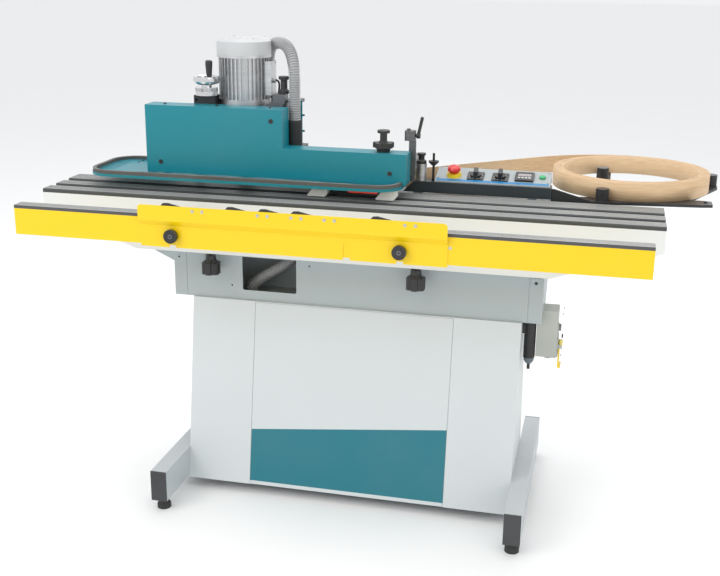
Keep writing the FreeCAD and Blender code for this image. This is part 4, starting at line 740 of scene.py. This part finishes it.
class Rules:
    """Geometry Nodes trees for what repeats."""

    def __init__(self) -> None:
        """Build every tree once."""
        self.screws = self.make_screws()
        self.hose = self.make_hose()
        self.lead = self.make_lead()
        self.coil = self.make_coil()
        self.ticks = self.make_ticks()

    @staticmethod
    def finish(tree: Tree, source: bpy.types.Node, sink: bpy.types.Node, geometry: Link) -> None:
        """End a tree with real geometry and its material."""
        real = tree.add("GeometryNodeRealizeInstances", {"Geometry": geometry})
        dressed = tree.add("GeometryNodeSetMaterial", {"Geometry": real.outputs[0],
                                                       "Material": source.outputs["Material"]})
        tree.feed(sink.inputs["Geometry"], dressed.outputs[0])

    def make_screws(self) -> bpy.types.NodeTree:
        """Return a tree that puts a recessed screw head and its washer on every point."""
        tree, source, sink = new_group(
            "screw_heads", "GeometryNodeTree",
            [("Geometry", "NodeSocketGeometry", None), ("Sides", "NodeSocketInt", 24),
             ("Head radius", "NodeSocketFloat", 0.004), ("Head height", "NodeSocketFloat", 0.003),
             ("Turn", "NodeSocketVector", None), ("Material", "NodeSocketMaterial", None)],
            [("Geometry", "NodeSocketGeometry")])
        head = tree.add("GeometryNodeMeshCylinder", {"Vertices": source.outputs["Sides"],
                                                     "Radius": source.outputs["Head radius"],
                                                     "Depth": source.outputs["Head height"]})
        inset = tree.add("GeometryNodeExtrudeMesh", {"Mesh": head.outputs["Mesh"],
                                                     "Selection": head.outputs["Top"],
                                                     "Offset Scale": 0.0}, mode="FACES")
        narrow = tree.add("GeometryNodeScaleElements", {"Geometry": inset.outputs["Mesh"],
                                                        "Selection": inset.outputs["Top"],
                                                        "Scale": 0.52}, domain="FACE")
        depth = tree.math("MULTIPLY", source.outputs["Head height"], -0.6)
        socket = tree.add("GeometryNodeExtrudeMesh", {"Mesh": narrow.outputs[0],
                                                      "Selection": inset.outputs["Top"],
                                                      "Offset Scale": depth}, mode="FACES")
        washer_radius = tree.math("MULTIPLY", source.outputs["Head radius"], 1.35)
        washer_height = tree.math("MULTIPLY", source.outputs["Head height"], 0.3)
        washer = tree.add("GeometryNodeMeshCylinder", {"Vertices": 24, "Radius": washer_radius,
                                                       "Depth": washer_height})
        lift = tree.add("ShaderNodeCombineXYZ", {2: tree.math(
            "MULTIPLY", source.outputs["Head height"], 0.6)})
        raised = tree.add("GeometryNodeTransform", {"Geometry": socket.outputs["Mesh"],
                                                    "Translation": lift.outputs[0]})
        both = tree.add("GeometryNodeJoinGeometry")
        tree.feed(both.inputs[0], raised.outputs[0])
        tree.feed(both.inputs[0], washer.outputs["Mesh"])
        spread = tree.add("GeometryNodeInstanceOnPoints", {"Points": source.outputs["Geometry"],
                                                           "Instance": both.outputs[0]})
        turned = tree.add("GeometryNodeRotateInstances", {"Instances": spread.outputs[0],
                                                          "Rotation": source.outputs["Turn"]})
        self.finish(tree, source, sink, turned.outputs[0])
        return tree.tree

    def make_hose(self) -> bpy.types.NodeTree:
        """Return a tree that winds round ribs on a tube along a line."""
        tree, source, sink = new_group(
            "ribbed_hose", "GeometryNodeTree",
            [("Geometry", "NodeSocketGeometry", None), ("Radius", "NodeSocketFloat", 0.0175),
             ("Rib", "NodeSocketFloat", 0.0016), ("Pitch", "NodeSocketFloat", 0.006),
             ("Material", "NodeSocketMaterial", None)],
            [("Geometry", "NodeSocketGeometry")])
        line = tree.add("GeometryNodeMeshToCurve", {"Mesh": source.outputs["Geometry"]})
        even = tree.add("GeometryNodeResampleCurve", {"Curve": line.outputs[0],
                                                      "Length": source.outputs["Pitch"]},
                        mode="LENGTH")
        rib_centre = tree.math("SUBTRACT", source.outputs["Radius"], source.outputs["Rib"])
        wall_radius = tree.math("SUBTRACT", rib_centre, tree.math("MULTIPLY", source.outputs["Rib"], 0.7))
        skin = tree.add("GeometryNodeCurvePrimitiveCircle", {"Resolution": 28,
                                                             "Radius": wall_radius})
        tube = tree.add("GeometryNodeCurveToMesh", {"Curve": even.outputs[0],
                                                    "Profile Curve": skin.outputs[0]})
        ring = tree.add("GeometryNodeCurvePrimitiveCircle", {"Resolution": 28,
                                                             "Radius": rib_centre})
        bead = tree.add("GeometryNodeCurvePrimitiveCircle", {"Resolution": 6,
                                                             "Radius": source.outputs["Rib"]})
        rib = tree.add("GeometryNodeCurveToMesh", {"Curve": ring.outputs[0],
                                                   "Profile Curve": bead.outputs[0]})
        tangent = tree.add("GeometryNodeInputTangent")
        aim = tree.add("FunctionNodeAlignRotationToVector", {"Vector": tangent.outputs[0]},
                       axis="Z")
        ribs = tree.add("GeometryNodeInstanceOnPoints", {"Points": even.outputs[0],
                                                         "Instance": rib.outputs[0],
                                                         "Rotation": aim.outputs[0]})
        both = tree.add("GeometryNodeJoinGeometry")
        tree.feed(both.inputs[0], tube.outputs[0])
        tree.feed(both.inputs[0], ribs.outputs[0])
        smooth = tree.add("GeometryNodeSetShadeSmooth", {"Geometry": both.outputs[0]})
        self.finish(tree, source, sink, smooth.outputs[0])
        return tree.tree

    def make_lead(self) -> bpy.types.NodeTree:
        """Return a tree that makes a smooth round lead along a line."""
        tree, source, sink = new_group(
            "smooth_lead", "GeometryNodeTree",
            [("Geometry", "NodeSocketGeometry", None), ("Radius", "NodeSocketFloat", 0.003),
             ("Sides", "NodeSocketInt", 16), ("Material", "NodeSocketMaterial", None)],
            [("Geometry", "NodeSocketGeometry")])
        line = tree.add("GeometryNodeMeshToCurve", {"Mesh": source.outputs["Geometry"]})
        skin = tree.add("GeometryNodeCurvePrimitiveCircle", {"Resolution": source.outputs["Sides"],
                                                             "Radius": source.outputs["Radius"]})
        tube = tree.add("GeometryNodeCurveToMesh", {"Curve": line.outputs[0],
                                                    "Profile Curve": skin.outputs[0]})
        smooth = tree.add("GeometryNodeSetShadeSmooth", {"Geometry": tube.outputs[0]})
        self.finish(tree, source, sink, smooth.outputs[0])
        return tree.tree

    def make_coil(self) -> bpy.types.NodeTree:
        """Return a tree that lays many turns of tape round one centre."""
        tree, source, sink = new_group(
            "coil_turns", "GeometryNodeTree",
            [("Geometry", "NodeSocketGeometry", None), ("Turns", "NodeSocketInt", 26),
             ("Inner radius", "NodeSocketFloat", 0.2), ("Outer radius", "NodeSocketFloat", 0.23),
             ("Width", "NodeSocketFloat", 0.053), ("Unevenness", "NodeSocketFloat", 0.0012),
             ("Material", "NodeSocketMaterial", None)],
            [("Geometry", "NodeSocketGeometry")])
        turns = source.outputs["Turns"]
        build_up = tree.math("SUBTRACT", source.outputs["Outer radius"], source.outputs["Inner radius"])
        pitch = tree.math("DIVIDE", build_up, turns)
        thick = tree.math("MULTIPLY", pitch, 0.8)
        index = tree.add("GeometryNodeInputIndex").outputs[0]
        step = tree.math("ADD", index, 0.5)
        radius = tree.math("ADD", source.outputs["Inner radius"], tree.math("MULTIPLY", pitch, step))
        seat = tree.add("GeometryNodeSampleIndex", {"Geometry": source.outputs["Geometry"],
                                                    "Value": tree.add("GeometryNodeInputPosition").outputs[0]},
                        data_type="FLOAT_VECTOR")
        shift = tree.add("FunctionNodeRandomValue", {2: 0.0, 3: source.outputs["Unevenness"],
                                                     "Seed": 7}, data_type="FLOAT")
        lift = tree.add("ShaderNodeCombineXYZ", {2: shift.outputs[1]})
        place = tree.add("ShaderNodeVectorMath", {0: seat.outputs[0], 1: lift.outputs[0]},
                         operation="ADD")
        points = tree.add("GeometryNodePoints", {"Count": turns})
        moved = tree.add("GeometryNodeSetPosition", {"Geometry": points.outputs[0],
                                                     "Position": place.outputs[0]})
        ring = tree.add("GeometryNodeCurvePrimitiveCircle", {"Resolution": 160, "Radius": 1.0})
        size = tree.add("ShaderNodeCombineXYZ", {0: radius, 1: radius, 2: 1.0})
        rings = tree.add("GeometryNodeInstanceOnPoints", {"Points": moved.outputs[0],
                                                          "Instance": ring.outputs[0],
                                                          "Scale": size.outputs[0]})
        lines = tree.add("GeometryNodeRealizeInstances", {"Geometry": rings.outputs[0]})
        strip = tree.add("GeometryNodeCurvePrimitiveQuadrilateral", {"Width": thick,
                                                                     "Height": source.outputs["Width"]})
        wound = tree.add("GeometryNodeCurveToMesh", {"Curve": lines.outputs[0],
                                                     "Profile Curve": strip.outputs[0]})
        self.finish(tree, source, sink, wound.outputs[0])
        return tree.tree

    def make_ticks(self) -> bpy.types.NodeTree:
        """Return a tree that sets short bars round a circle that lies flat."""
        tree, source, sink = new_group(
            "dial_ticks", "GeometryNodeTree",
            [("Geometry", "NodeSocketGeometry", None), ("Count", "NodeSocketInt", 12),
             ("Radius", "NodeSocketFloat", 0.018), ("Bar", "NodeSocketVector", None),
             ("Material", "NodeSocketMaterial", None)],
            [("Geometry", "NodeSocketGeometry")])
        circle = tree.add("GeometryNodeCurvePrimitiveCircle", {"Resolution": source.outputs["Count"],
                                                               "Radius": source.outputs["Radius"]})
        bar = tree.add("GeometryNodeMeshCube", {"Size": source.outputs["Bar"]})
        tangent = tree.add("GeometryNodeInputTangent")
        aim = tree.add("FunctionNodeAlignRotationToVector", {"Vector": tangent.outputs[0]},
                       axis="Y")
        bars = tree.add("GeometryNodeInstanceOnPoints", {"Points": circle.outputs[0],
                                                         "Instance": bar.outputs[0],
                                                         "Rotation": aim.outputs[0]})
        whole = tree.add("GeometryNodeRealizeInstances", {"Geometry": bars.outputs[0]})
        spread = tree.add("GeometryNodeInstanceOnPoints", {"Points": source.outputs["Geometry"],
                                                           "Instance": whole.outputs[0]})
        self.finish(tree, source, sink, spread.outputs[0])
        return tree.tree


# ------------------------------------------------------------------ sub-assemblies
@dataclass
class Workshop:
    """What every sub-assembly needs to make its pieces."""

    palette: Palette
    rules: Rules

    def screws(self, name: str, body: str, points: Iterable[Sequence[float]], facing: Facing,
               radius: float, height: float, finish: str, style: HeadStyle) -> None:
        """Set screw heads on a body.

        Args:
            name: Name of the piece.
            body: Body it rides on.
            points: Where the heads sit, on the surface.
            facing: Direction the heads look.
            radius: Radius of a head.
            height: Height of a head.
            finish: Name of the finish.
            style: Socket or hexagon head.
        """
        values = {"Sides": style.value, "Head radius": radius, "Head height": height,
                  "Turn": facing.value, "Material": self.palette[finish]}
        piece = grow(point_mesh(name, points), self.rules.screws, values)
        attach(piece, body)
        LOG.info("%s: %d heads", name, len(piece.data.polygons) // style.value)

    def block(self, name: str, body: str, low: Point, high: Point, bevel: float, finish: str,
              turn: Matrix | None = None) -> bpy.types.Object:
        """Make a soft-edged block that rides on a body."""
        piece = soft_block(name, low, high, bevel, self.palette[finish], turn)
        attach(piece, body)
        LOG.info("%s", name)
        return piece


    def disc(self, name: str, body: str, radius: float, height: float, finish: str,
             turn: Matrix) -> None:
        """Make a round button, lamp or plug that rides on a body."""
        piece = soft_disc(name, radius, height, height * 0.3, self.palette[finish], turn)
        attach(piece, body)
        LOG.info("%s", name)


@dataclass
class Carcass:
    """Every CAD part with its finish."""

    shop: Workshop

    def dress(self, nodes: dict[str, bpy.types.Object]) -> None:
        """Give each CAD node its material.

        Args:
            nodes: The frame's nodes, by name.
        """
        for finish, names in NODE_FINISHES.items():
            for name in names:
                for slot in nodes[name].material_slots:
                    slot.material = self.shop.palette[finish]
                LOG.info("%s: %s", name, finish)


@dataclass
class Hoses:
    """The ribbed suction hose and the ribbed hose behind the window."""

    shop: Workshop
    radius: float = 0.0175
    rib: float = 0.0021
    pitch: float = 0.0068

    def line(self, name: str, points: Sequence[Point]) -> bpy.types.Object:
        """Return the smooth line through a hose's route as a plain mesh of edges.

        Args:
            name: Name of the object.
            points: Control points of the route.

        Returns:
            An object with the line.
        """
        curve = bpy.data.curves.new(name + "_route", "CURVE")
        curve.dimensions = "3D"
        curve.resolution_u = 24
        spline = curve.splines.new("NURBS")
        spline.points.add(len(points) - 1)
        for control, point in zip(spline.points, points):
            control.co = (*point, 1.0)
        spline.order_u = 3
        spline.use_endpoint_u = True
        route = bpy.data.objects.new(name + "_route", curve)
        bpy.context.scene.collection.objects.link(route)
        bpy.context.view_layer.update()
        graph = bpy.context.evaluated_depsgraph_get()
        mesh = bpy.data.meshes.new_from_object(route.evaluated_get(graph), depsgraph=graph)
        bpy.data.objects.remove(route)
        host = bpy.data.objects.new(name, mesh)
        bpy.context.scene.collection.objects.link(host)
        return host

    def declare(self, piece: bpy.types.Object, body: str, node: str) -> None:
        """Ride a hose or cable on its body and hide the CAD node that it stands for.

        Args:
            piece: The finished mesh tube.
            body: The body that it moves with.
            node: The CAD node that it stands for.
        """
        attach(piece, body)
        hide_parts(node)

    def make(self, name: str, body: str, node: str, points: Sequence[Point]) -> None:
        """Make one ribbed hose that stands for a CAD node."""
        line = self.line(name, points)
        values = {"Radius": self.radius, "Rib": self.rib, "Pitch": self.pitch,
                  "Material": self.shop.palette["hose_plastic"]}
        piece = grow(line, self.shop.rules.hose, values)
        self.declare(piece, body, node)

    def build(self) -> None:
        """Make both hoses along the routes of their CAD parts."""
        low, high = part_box("suction_hose")
        cuff_low, cuff_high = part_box("hose_cuffs")
        near = (high[0] - self.radius, low[1] + self.radius)
        far = (low[0] + self.radius, high[1] - self.radius)
        foot = low[2]
        bend_start = foot + 0.063
        crown = 1.308
        rear_foot = cuff_high[2] - 0.035
        self.make("suction_hose_ribbed", "head", "suction_hose", [
            (*near, foot), (*near, bend_start), (*near, crown), (*far, crown),
            (*far, rear_foot + 0.04), (*far, rear_foot)])
        low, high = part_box("window_hose")
        depth = (low[1] + high[1]) / 2
        left = low[0] + self.radius
        right = high[0] - self.radius
        self.make("window_hose_ribbed", "stand", "window_hose", [
            (left, depth, low[2]), (left, depth, low[2] + 0.024), (left, depth, low[2] + 0.062),
            (right, depth, high[2] - 0.085), (right, depth, high[2] - 0.045), (right, depth, high[2])])
        self.motor_lead()

    def motor_lead(self) -> None:
        """Make the short lead from the terminal box's gland to the motor's foot."""
        route = [(-0.337, 0.0196, 1.202), (-0.326, 0.0196, 1.202),
                 (-0.333, 0.0336, 1.162), (-0.343, 0.0356, 1.1335)]
        lead_radius = 0.003
        sides = 16
        line = self.line("motor_lead", route)
        values = {"Radius": lead_radius, "Sides": sides, "Material": self.shop.palette["black_plastic"]}
        piece = grow(line, self.shop.rules.lead, values)
        self.declare(piece, "head", "motor_cable")


@dataclass
class EdgingCoil:
    """The coil as separate turns of thin edging."""

    shop: Workshop
    turns: int = 26
    unevenness: float = 0.0011

    def build(self) -> None:
        """Make the turns in place of the solid ring."""
        low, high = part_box("edging_coil")
        outer = (high[0] - low[0]) / 2
        wound = 0.0305
        width = high[2] - low[2] - self.unevenness
        centre = ((low[0] + high[0]) / 2, (low[1] + high[1]) / 2, low[2] + width / 2)
        values = {"Turns": self.turns, "Inner radius": outer - wound, "Outer radius": outer,
                  "Width": width, "Unevenness": self.unevenness,
                  "Material": self.shop.palette["coil_wood"]}
        piece = grow(point_mesh("coil_turns", [centre]), self.shop.rules.coil, values)
        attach(piece, "coil")
        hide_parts("edging_coil")
        LOG.info("coil_turns: %d faces", len(piece.data.polygons))


@dataclass
class Head:
    """Fasteners, marks and trim on the motor head."""

    shop: Workshop
    bolt: float = 0.0042

    def build(self) -> None:
        """Make the pieces of the head."""
        self.hood_screws()
        self.motor_screws()
        self.plate_bolts()
        self.collar_scale()
        self.red_lip()

    def hood_screws(self) -> None:
        """Three black socket screws in the hood's front."""
        low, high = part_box("hood_cover")
        front = low[1]
        points = [(low[0] + 0.043, front, low[2] + 0.031), (low[0] + 0.382, front, high[2] - 0.033),
                  (high[0] - 0.047, front, low[2] + 0.032)]
        self.shop.screws("hood_screws", "head", points, Facing.FRONT, 0.005, 0.0035,
                         "black_plastic", HeadStyle.SOCKET)

    def motor_screws(self) -> None:
        """Screws on the terminal box and round the motor cowl."""
        low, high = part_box("terminal_box")
        inset = 0.006
        face = high[0] - 0.008
        points = [(face, y, z) for y in (low[1] + inset, high[1] - inset)
                  for z in (low[2] + inset, high[2] - inset)]
        self.shop.screws("terminal_screws", "head", points, Facing.RIGHT, 0.0022, 0.0014,
                         "zinc_screw", HeadStyle.SOCKET)
        low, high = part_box("motor_cowl")
        centre = ((low[0] + high[0]) / 2, (low[1] + high[1]) / 2)
        ring = (high[0] - low[0]) / 2 - 0.012
        count = 4
        crown = [(centre[0] + ring * math.cos(math.pi / 4 + math.tau * n / count),
                  centre[1] + ring * math.sin(math.pi / 4 + math.tau * n / count), high[2])
                 for n in range(count)]
        self.shop.screws("cowl_screws", "head", crown, Facing.UP, 0.0026, 0.0016,
                         "zinc_screw", HeadStyle.HEX)

    def plate_bolts(self) -> None:
        """Hexagon bolts that hold the top plates and the hose bracket."""
        low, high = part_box("hood_cover")
        frame_low, frame_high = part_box("head_frame")
        top = high[2] - 0.0025
        back = frame_high[1] - 0.02
        shelf = 1.095
        columns = [(low[0] + 0.03, back, shelf), (low[0] + 0.12, back, top),
                   (low[0] + 0.03, back - 0.16, shelf)]
        self.shop.screws("top_plate_bolts", "head", columns, Facing.UP, 0.0055, 0.005,
                         "zinc_screw", HeadStyle.HEX)
        hood_top = [(low[0] + x, low[1] + 0.032, high[2]) for x in (0.05, 0.21, 0.37)]
        self.shop.screws("hood_top_screws", "head", hood_top, Facing.UP, 0.0042, 0.0026,
                         "black_plastic", HeadStyle.SOCKET)
        low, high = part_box("hose_bracket")
        sheet_left = low[0]
        front = low[1] + 0.001
        bracket = [(sheet_left + 0.008, front, high[2] - 0.012), (sheet_left + 0.032, front, high[2] - 0.012),
                   (sheet_left + 0.008, front, low[2] + 0.03)]
        self.shop.screws("bracket_screws", "head", bracket, Facing.FRONT, 0.003, 0.0024,
                         "zinc_screw", HeadStyle.SOCKET)

    def collar_scale(self) -> None:
        """Fine dial lines round the handwheel's collar."""
        low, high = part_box("handwheel")
        block_low, block_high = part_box("handwheel_block")
        centre_x = (low[0] + high[0]) / 2
        centre_y = (low[1] + high[1]) / 2
        line_height = 0.009
        count = 40
        middle = block_high[2] + 0.017
        values = {"Count": count, "Radius": 0.0322, "Bar": (0.0009, 0.0008, line_height),
                  "Material": self.shop.palette["black_plastic"]}
        piece = grow(point_mesh("collar_scale", [(centre_x, centre_y, middle)]),
                     self.shop.rules.ticks, values)
        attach(piece, "handwheel")
        LOG.info("collar_scale: %d lines", count)

    def red_lip(self) -> None:
        """Red wiper strip under the front lip of the guard."""
        low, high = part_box("guard_plate")
        left = high[0] - 0.142
        right = high[0] - 0.058
        self.shop.block("red_wiper", "head", (left, low[1] + 0.003, low[2] - 0.005),
                        (right, low[1] + 0.007, low[2] + 0.007), 0.001, "red_plastic")


@dataclass
class SupportBar:
    """Screws of the leaf fingers and the ends of the sliding bar."""

    shop: Workshop
    lip_front_offset: float = 0.0

    def build(self) -> None:
        """Make the screws on the stop plate and the caps on the bar."""
        low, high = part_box("stop_fingers")
        plate_low, plate_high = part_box("stop_plate")
        screw_height = low[2] + 0.0145
        tips = (0.0, 0.177, 0.266, 0.353, 0.56)
        offsets = (0.089, 0.1155)
        points = [(low[0] + tip + offset, plate_low[1] - self.lip_front_offset, screw_height)
                  for tip in tips for offset in offsets]
        self.shop.screws("finger_screws", "stop", points, Facing.FRONT, 0.0034, 0.0018,
                         "zinc_screw", HeadStyle.SOCKET)
        knob_low, knob_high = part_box("plate_knob_right")
        self.cap_screws("plate_knob_left")
        self.cap_screws("plate_knob_right")
        bar_low, bar_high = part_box("support_bar")
        face_screw = [(bar_low[0] + side, bar_low[1], bar_high[2] - 0.028) for side in (0.49, 1.194)]
        self.shop.screws("bar_face_screws", "support", face_screw, Facing.FRONT, 0.0032, 0.0012,
                         "zinc_screw", HeadStyle.SOCKET)
        middle_y = (bar_low[1] + bar_high[1]) / 2
        rivets = [(bar_high[0], middle_y, z) for z in (bar_low[2] + 0.018, bar_high[2] - 0.018)]
        self.shop.screws("bar_end_screws", "support", rivets, Facing.RIGHT, 0.003, 0.0016,
                         "zinc_screw", HeadStyle.SOCKET)

    def cap_screws(self, knob: str) -> None:
        """A socket screw in the face of a clamping knob."""
        low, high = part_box(knob)
        centre = [((low[0] + high[0]) / 2, low[1] + 0.0012, (low[2] + high[2]) / 2)]
        self.shop.screws(knob + "_screw", knob, centre, Facing.FRONT, 0.006, 0.0012,
                         "dark_steel", HeadStyle.SOCKET)


@dataclass
class Desk:
    """Stripe, display, lamps and dial marks of the sloping desk."""

    shop: Workshop

    def build(self) -> None:
        """Make the desk's trim."""
        low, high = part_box("console_desk")
        front_top = 0.935
        rise = high[2] - front_top
        slope = math.atan2(rise, high[1] - low[1])
        turn = Matrix.Translation((0.0, low[1], front_top)) @ Matrix.Rotation(slope, 4, "X")
        skin = 0.0006
        self.shop.block("desk_stripe", "stand", (low[0] + 0.004, 0.003, 0.0),
                        (high[0] - 0.004, 0.016, skin), 0.0002, "desk_stripe", turn)
        display_low, display_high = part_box("console_plates")
        glass_centre = display_high[0] - 0.027
        bezel_y = 0.048
        self.shop.block("display_window", "stand", (glass_centre - 0.019, bezel_y, 0.0045),
                        (glass_centre + 0.019, bezel_y + 0.016, 0.0054), 0.0003, "display_glass", turn)
        keys = 4
        for n in range(keys):
            left = glass_centre - 0.0185 + n * 0.0098
            self.shop.block(f"display_key_{n + 1}", "stand", (left, bezel_y - 0.016, 0.006),
                            (left + 0.0075, bezel_y - 0.009, 0.0072), 0.0004, "cowl_plastic", turn)
        lamp_place = turn @ Matrix.Translation((high[0] - 0.025, 0.052, 0.0))
        self.shop.disc("ready_lamp", "stand", 0.0095, 0.006, "green_plastic", lamp_place)
        self.plate_marks(turn, low[1])
        self.corner_screws(turn, low, high)

    def plate_marks(self, turn: Matrix, front: float) -> None:
        """White dial marks round both rotary switches."""
        for side in ("left", "right"):
            low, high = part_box("rotary_switch_" + side)
            centre_x = (low[0] + high[0]) / 2
            name = "switch_marks_" + side
            values = {"Count": 10, "Radius": 0.0195, "Bar": (0.0032, 0.0008, 0.0005),
                      "Material": self.shop.palette["white_mark"]}
            piece = grow(point_mesh(name, [(0.0, 0.0, 0.0)]), self.shop.rules.ticks, values)
            along = 0.039 / math.cos(math.atan2(0.025, 0.088))
            piece.data.transform(turn @ Matrix.Translation((centre_x, along, 0.0032)))
            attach(piece, "stand")
            LOG.info("%s", name)

    def corner_screws(self, turn: Matrix, low: Point, high: Point) -> None:
        """Small screws at the desk's corners."""
        flat = [(x, y, 0.0) for x in (low[0] + 0.008, high[0] - 0.008) for y in (0.022, 0.084)]
        points = [turn @ Vector(point) for point in flat]
        self.shop.screws("desk_screws", "stand", points, Facing.UP, 0.0024, 0.001,
                         "zinc_screw", HeadStyle.SOCKET)


@dataclass
class Stand:
    """Fasteners on the stand, the switch box and the coil arms."""

    shop: Workshop

    def build(self) -> None:
        """Make the stand's fasteners."""
        low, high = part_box("electric_box")
        face = high[0] - 0.003
        inset = 0.007
        box_screws = [(face, y, z) for y in (low[1] + inset, high[1] - inset)
                      for z in (low[2] + 0.016 + inset, high[2] - inset)]
        self.shop.screws("switch_box_screws", "stand", box_screws, Facing.RIGHT, 0.0026, 0.0014,
                         "dark_steel", HeadStyle.SOCKET)
        lamp_place = Matrix.Translation((face, high[1] - 0.042, low[2] + 0.074))
        self.shop.disc("switch_lamp", "stand", 0.006, 0.004, "black_plastic",
                       lamp_place @ Facing.RIGHT.matrix())
        low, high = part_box("coil_posts")
        arm_low, arm_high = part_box("coil_holder")
        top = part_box("edging_coil")[0][2]
        arm_bolts = [(arm_low[0] + 0.03, arm_low[1] + 0.03, top), (arm_high[0] - 0.05, arm_low[1] + 0.07, top)]
        self.shop.screws("arm_bolts", "stand", arm_bolts, Facing.UP, 0.005, 0.004,
                         "dark_steel", HeadStyle.HEX)
        upper_low, upper_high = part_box("upper_box")
        plug_place = Matrix.Translation((upper_high[0] - 0.021, upper_low[1], upper_low[2] + 0.117))
        self.shop.disc("box_plug", "stand", 0.0045, 0.0015, "black_plastic",
                       plug_place @ Facing.FRONT.matrix())
        cabinet_low, cabinet_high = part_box("cabinet_shell")
        box_low, box_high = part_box("upper_box")
        row = [(cabinet_low[0] + 0.05 + n * 0.29, box_high[1], box_low[2] + 0.03) for n in range(4)]
        self.shop.screws("box_back_screws", "stand", row, Facing.BACK, 0.0042, 0.0026,
                         "zinc_screw", HeadStyle.HEX)


@dataclass
class Studio:
    """Floor, lights and camera."""

    place: Point = (0.6324, -3.0493, 1.55)
    yaw: float = -0.227
    pitch: float = -0.298
    roll: float = 0.011
    lens: float = 53.795
    floor_half: float = 40.0

    def build(self) -> None:
        """Make the studio."""
        self.floor()
        self.lights()
        self.camera()

    def floor(self) -> None:
        """A plain pale floor with a faint mottle."""
        build = bmesh.new()
        bmesh.ops.create_grid(build, x_segments=8, y_segments=8, size=self.floor_half)
        surface = Surface("studio_floor")
        noise = surface.tree.add("ShaderNodeTexNoise", {"Vector": surface.space, "Scale": 3.0})
        tone = surface.tree.mix(noise.outputs[0], (0.93, 0.93, 0.93, 1.0), (0.96, 0.96, 0.96, 1.0))
        surface.tree.feed(surface.shader.inputs["Base Color"], tone)
        surface.shader.inputs["Roughness"].default_value = 0.8
        piece = placed("studio_floor", build, surface.material)

    def lights(self) -> None:
        """Large soft lights from the left, the front and above, and a pale sky."""
        target = Vector((0.0, 0.0, 0.8))
        plan = (("key", (-2.6, -3.6, 3.4), 2.4, 60.0), ("fill", (3.6, -2.8, 2.2), 2.6, 18.0),
                ("top", (0.2, 0.6, 4.2), 3.0, 55.0), ("back", (1.0, 4.2, 2.8), 2.6, 20.0))
        for name, place, size, power in plan:
            lamp = bpy.data.lights.new(name, "AREA")
            lamp.shape = "SQUARE"
            lamp.size = size
            lamp.energy = power
            light = bpy.data.objects.new(name, lamp)
            light.location = place
            light.rotation_euler = (target - Vector(place)).to_track_quat("-Z", "Y").to_euler()
            bpy.context.scene.collection.objects.link(light)
        world = bpy.data.worlds.new("studio")
        world.use_nodes = True
        sky = world.node_tree.nodes["Background"]
        sky.inputs["Color"].default_value = (0.98, 0.99, 1.0, 1.0)
        sky.inputs["Strength"].default_value = 0.9
        bpy.context.scene.world = world
        bpy.context.scene.view_settings.view_transform = "Standard"

    def camera(self) -> None:
        """A camera at an operator's distance, a little above the table."""
        forward = Vector((math.sin(self.yaw) * math.cos(self.pitch),
                          math.cos(self.yaw) * math.cos(self.pitch), math.sin(self.pitch)))
        level = Vector((math.cos(self.yaw), -math.sin(self.yaw), 0.0))
        above = level.cross(forward)
        right = level * math.cos(self.roll) + above * math.sin(self.roll)
        up = above * math.cos(self.roll) - level * math.sin(self.roll)
        turn = Matrix((right, up, -forward)).transposed().to_4x4()
        lens = bpy.data.cameras.new("camera")
        lens.lens = self.lens
        lens.sensor_width = 36.0
        view = bpy.data.objects.new("camera", lens)
        view.matrix_world = Matrix.Translation(self.place) @ turn
        bpy.context.scene.collection.objects.link(view)
        bpy.context.scene.camera = view


def main() -> None:
    """Load the frame, then build every sub-assembly in order."""
    logging.basicConfig(level=logging.INFO, format="%(name)s %(message)s")
    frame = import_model()
    shop = Workshop(Palette(), Rules())
    Studio().build()
    Carcass(shop).dress(frame["nodes"])
    for assembly in (Hoses(shop), EdgingCoil(shop), Head(shop), SupportBar(shop), Desk(shop), Stand(shop)):
        assembly.build()


if __name__ == "__main__":
    main()
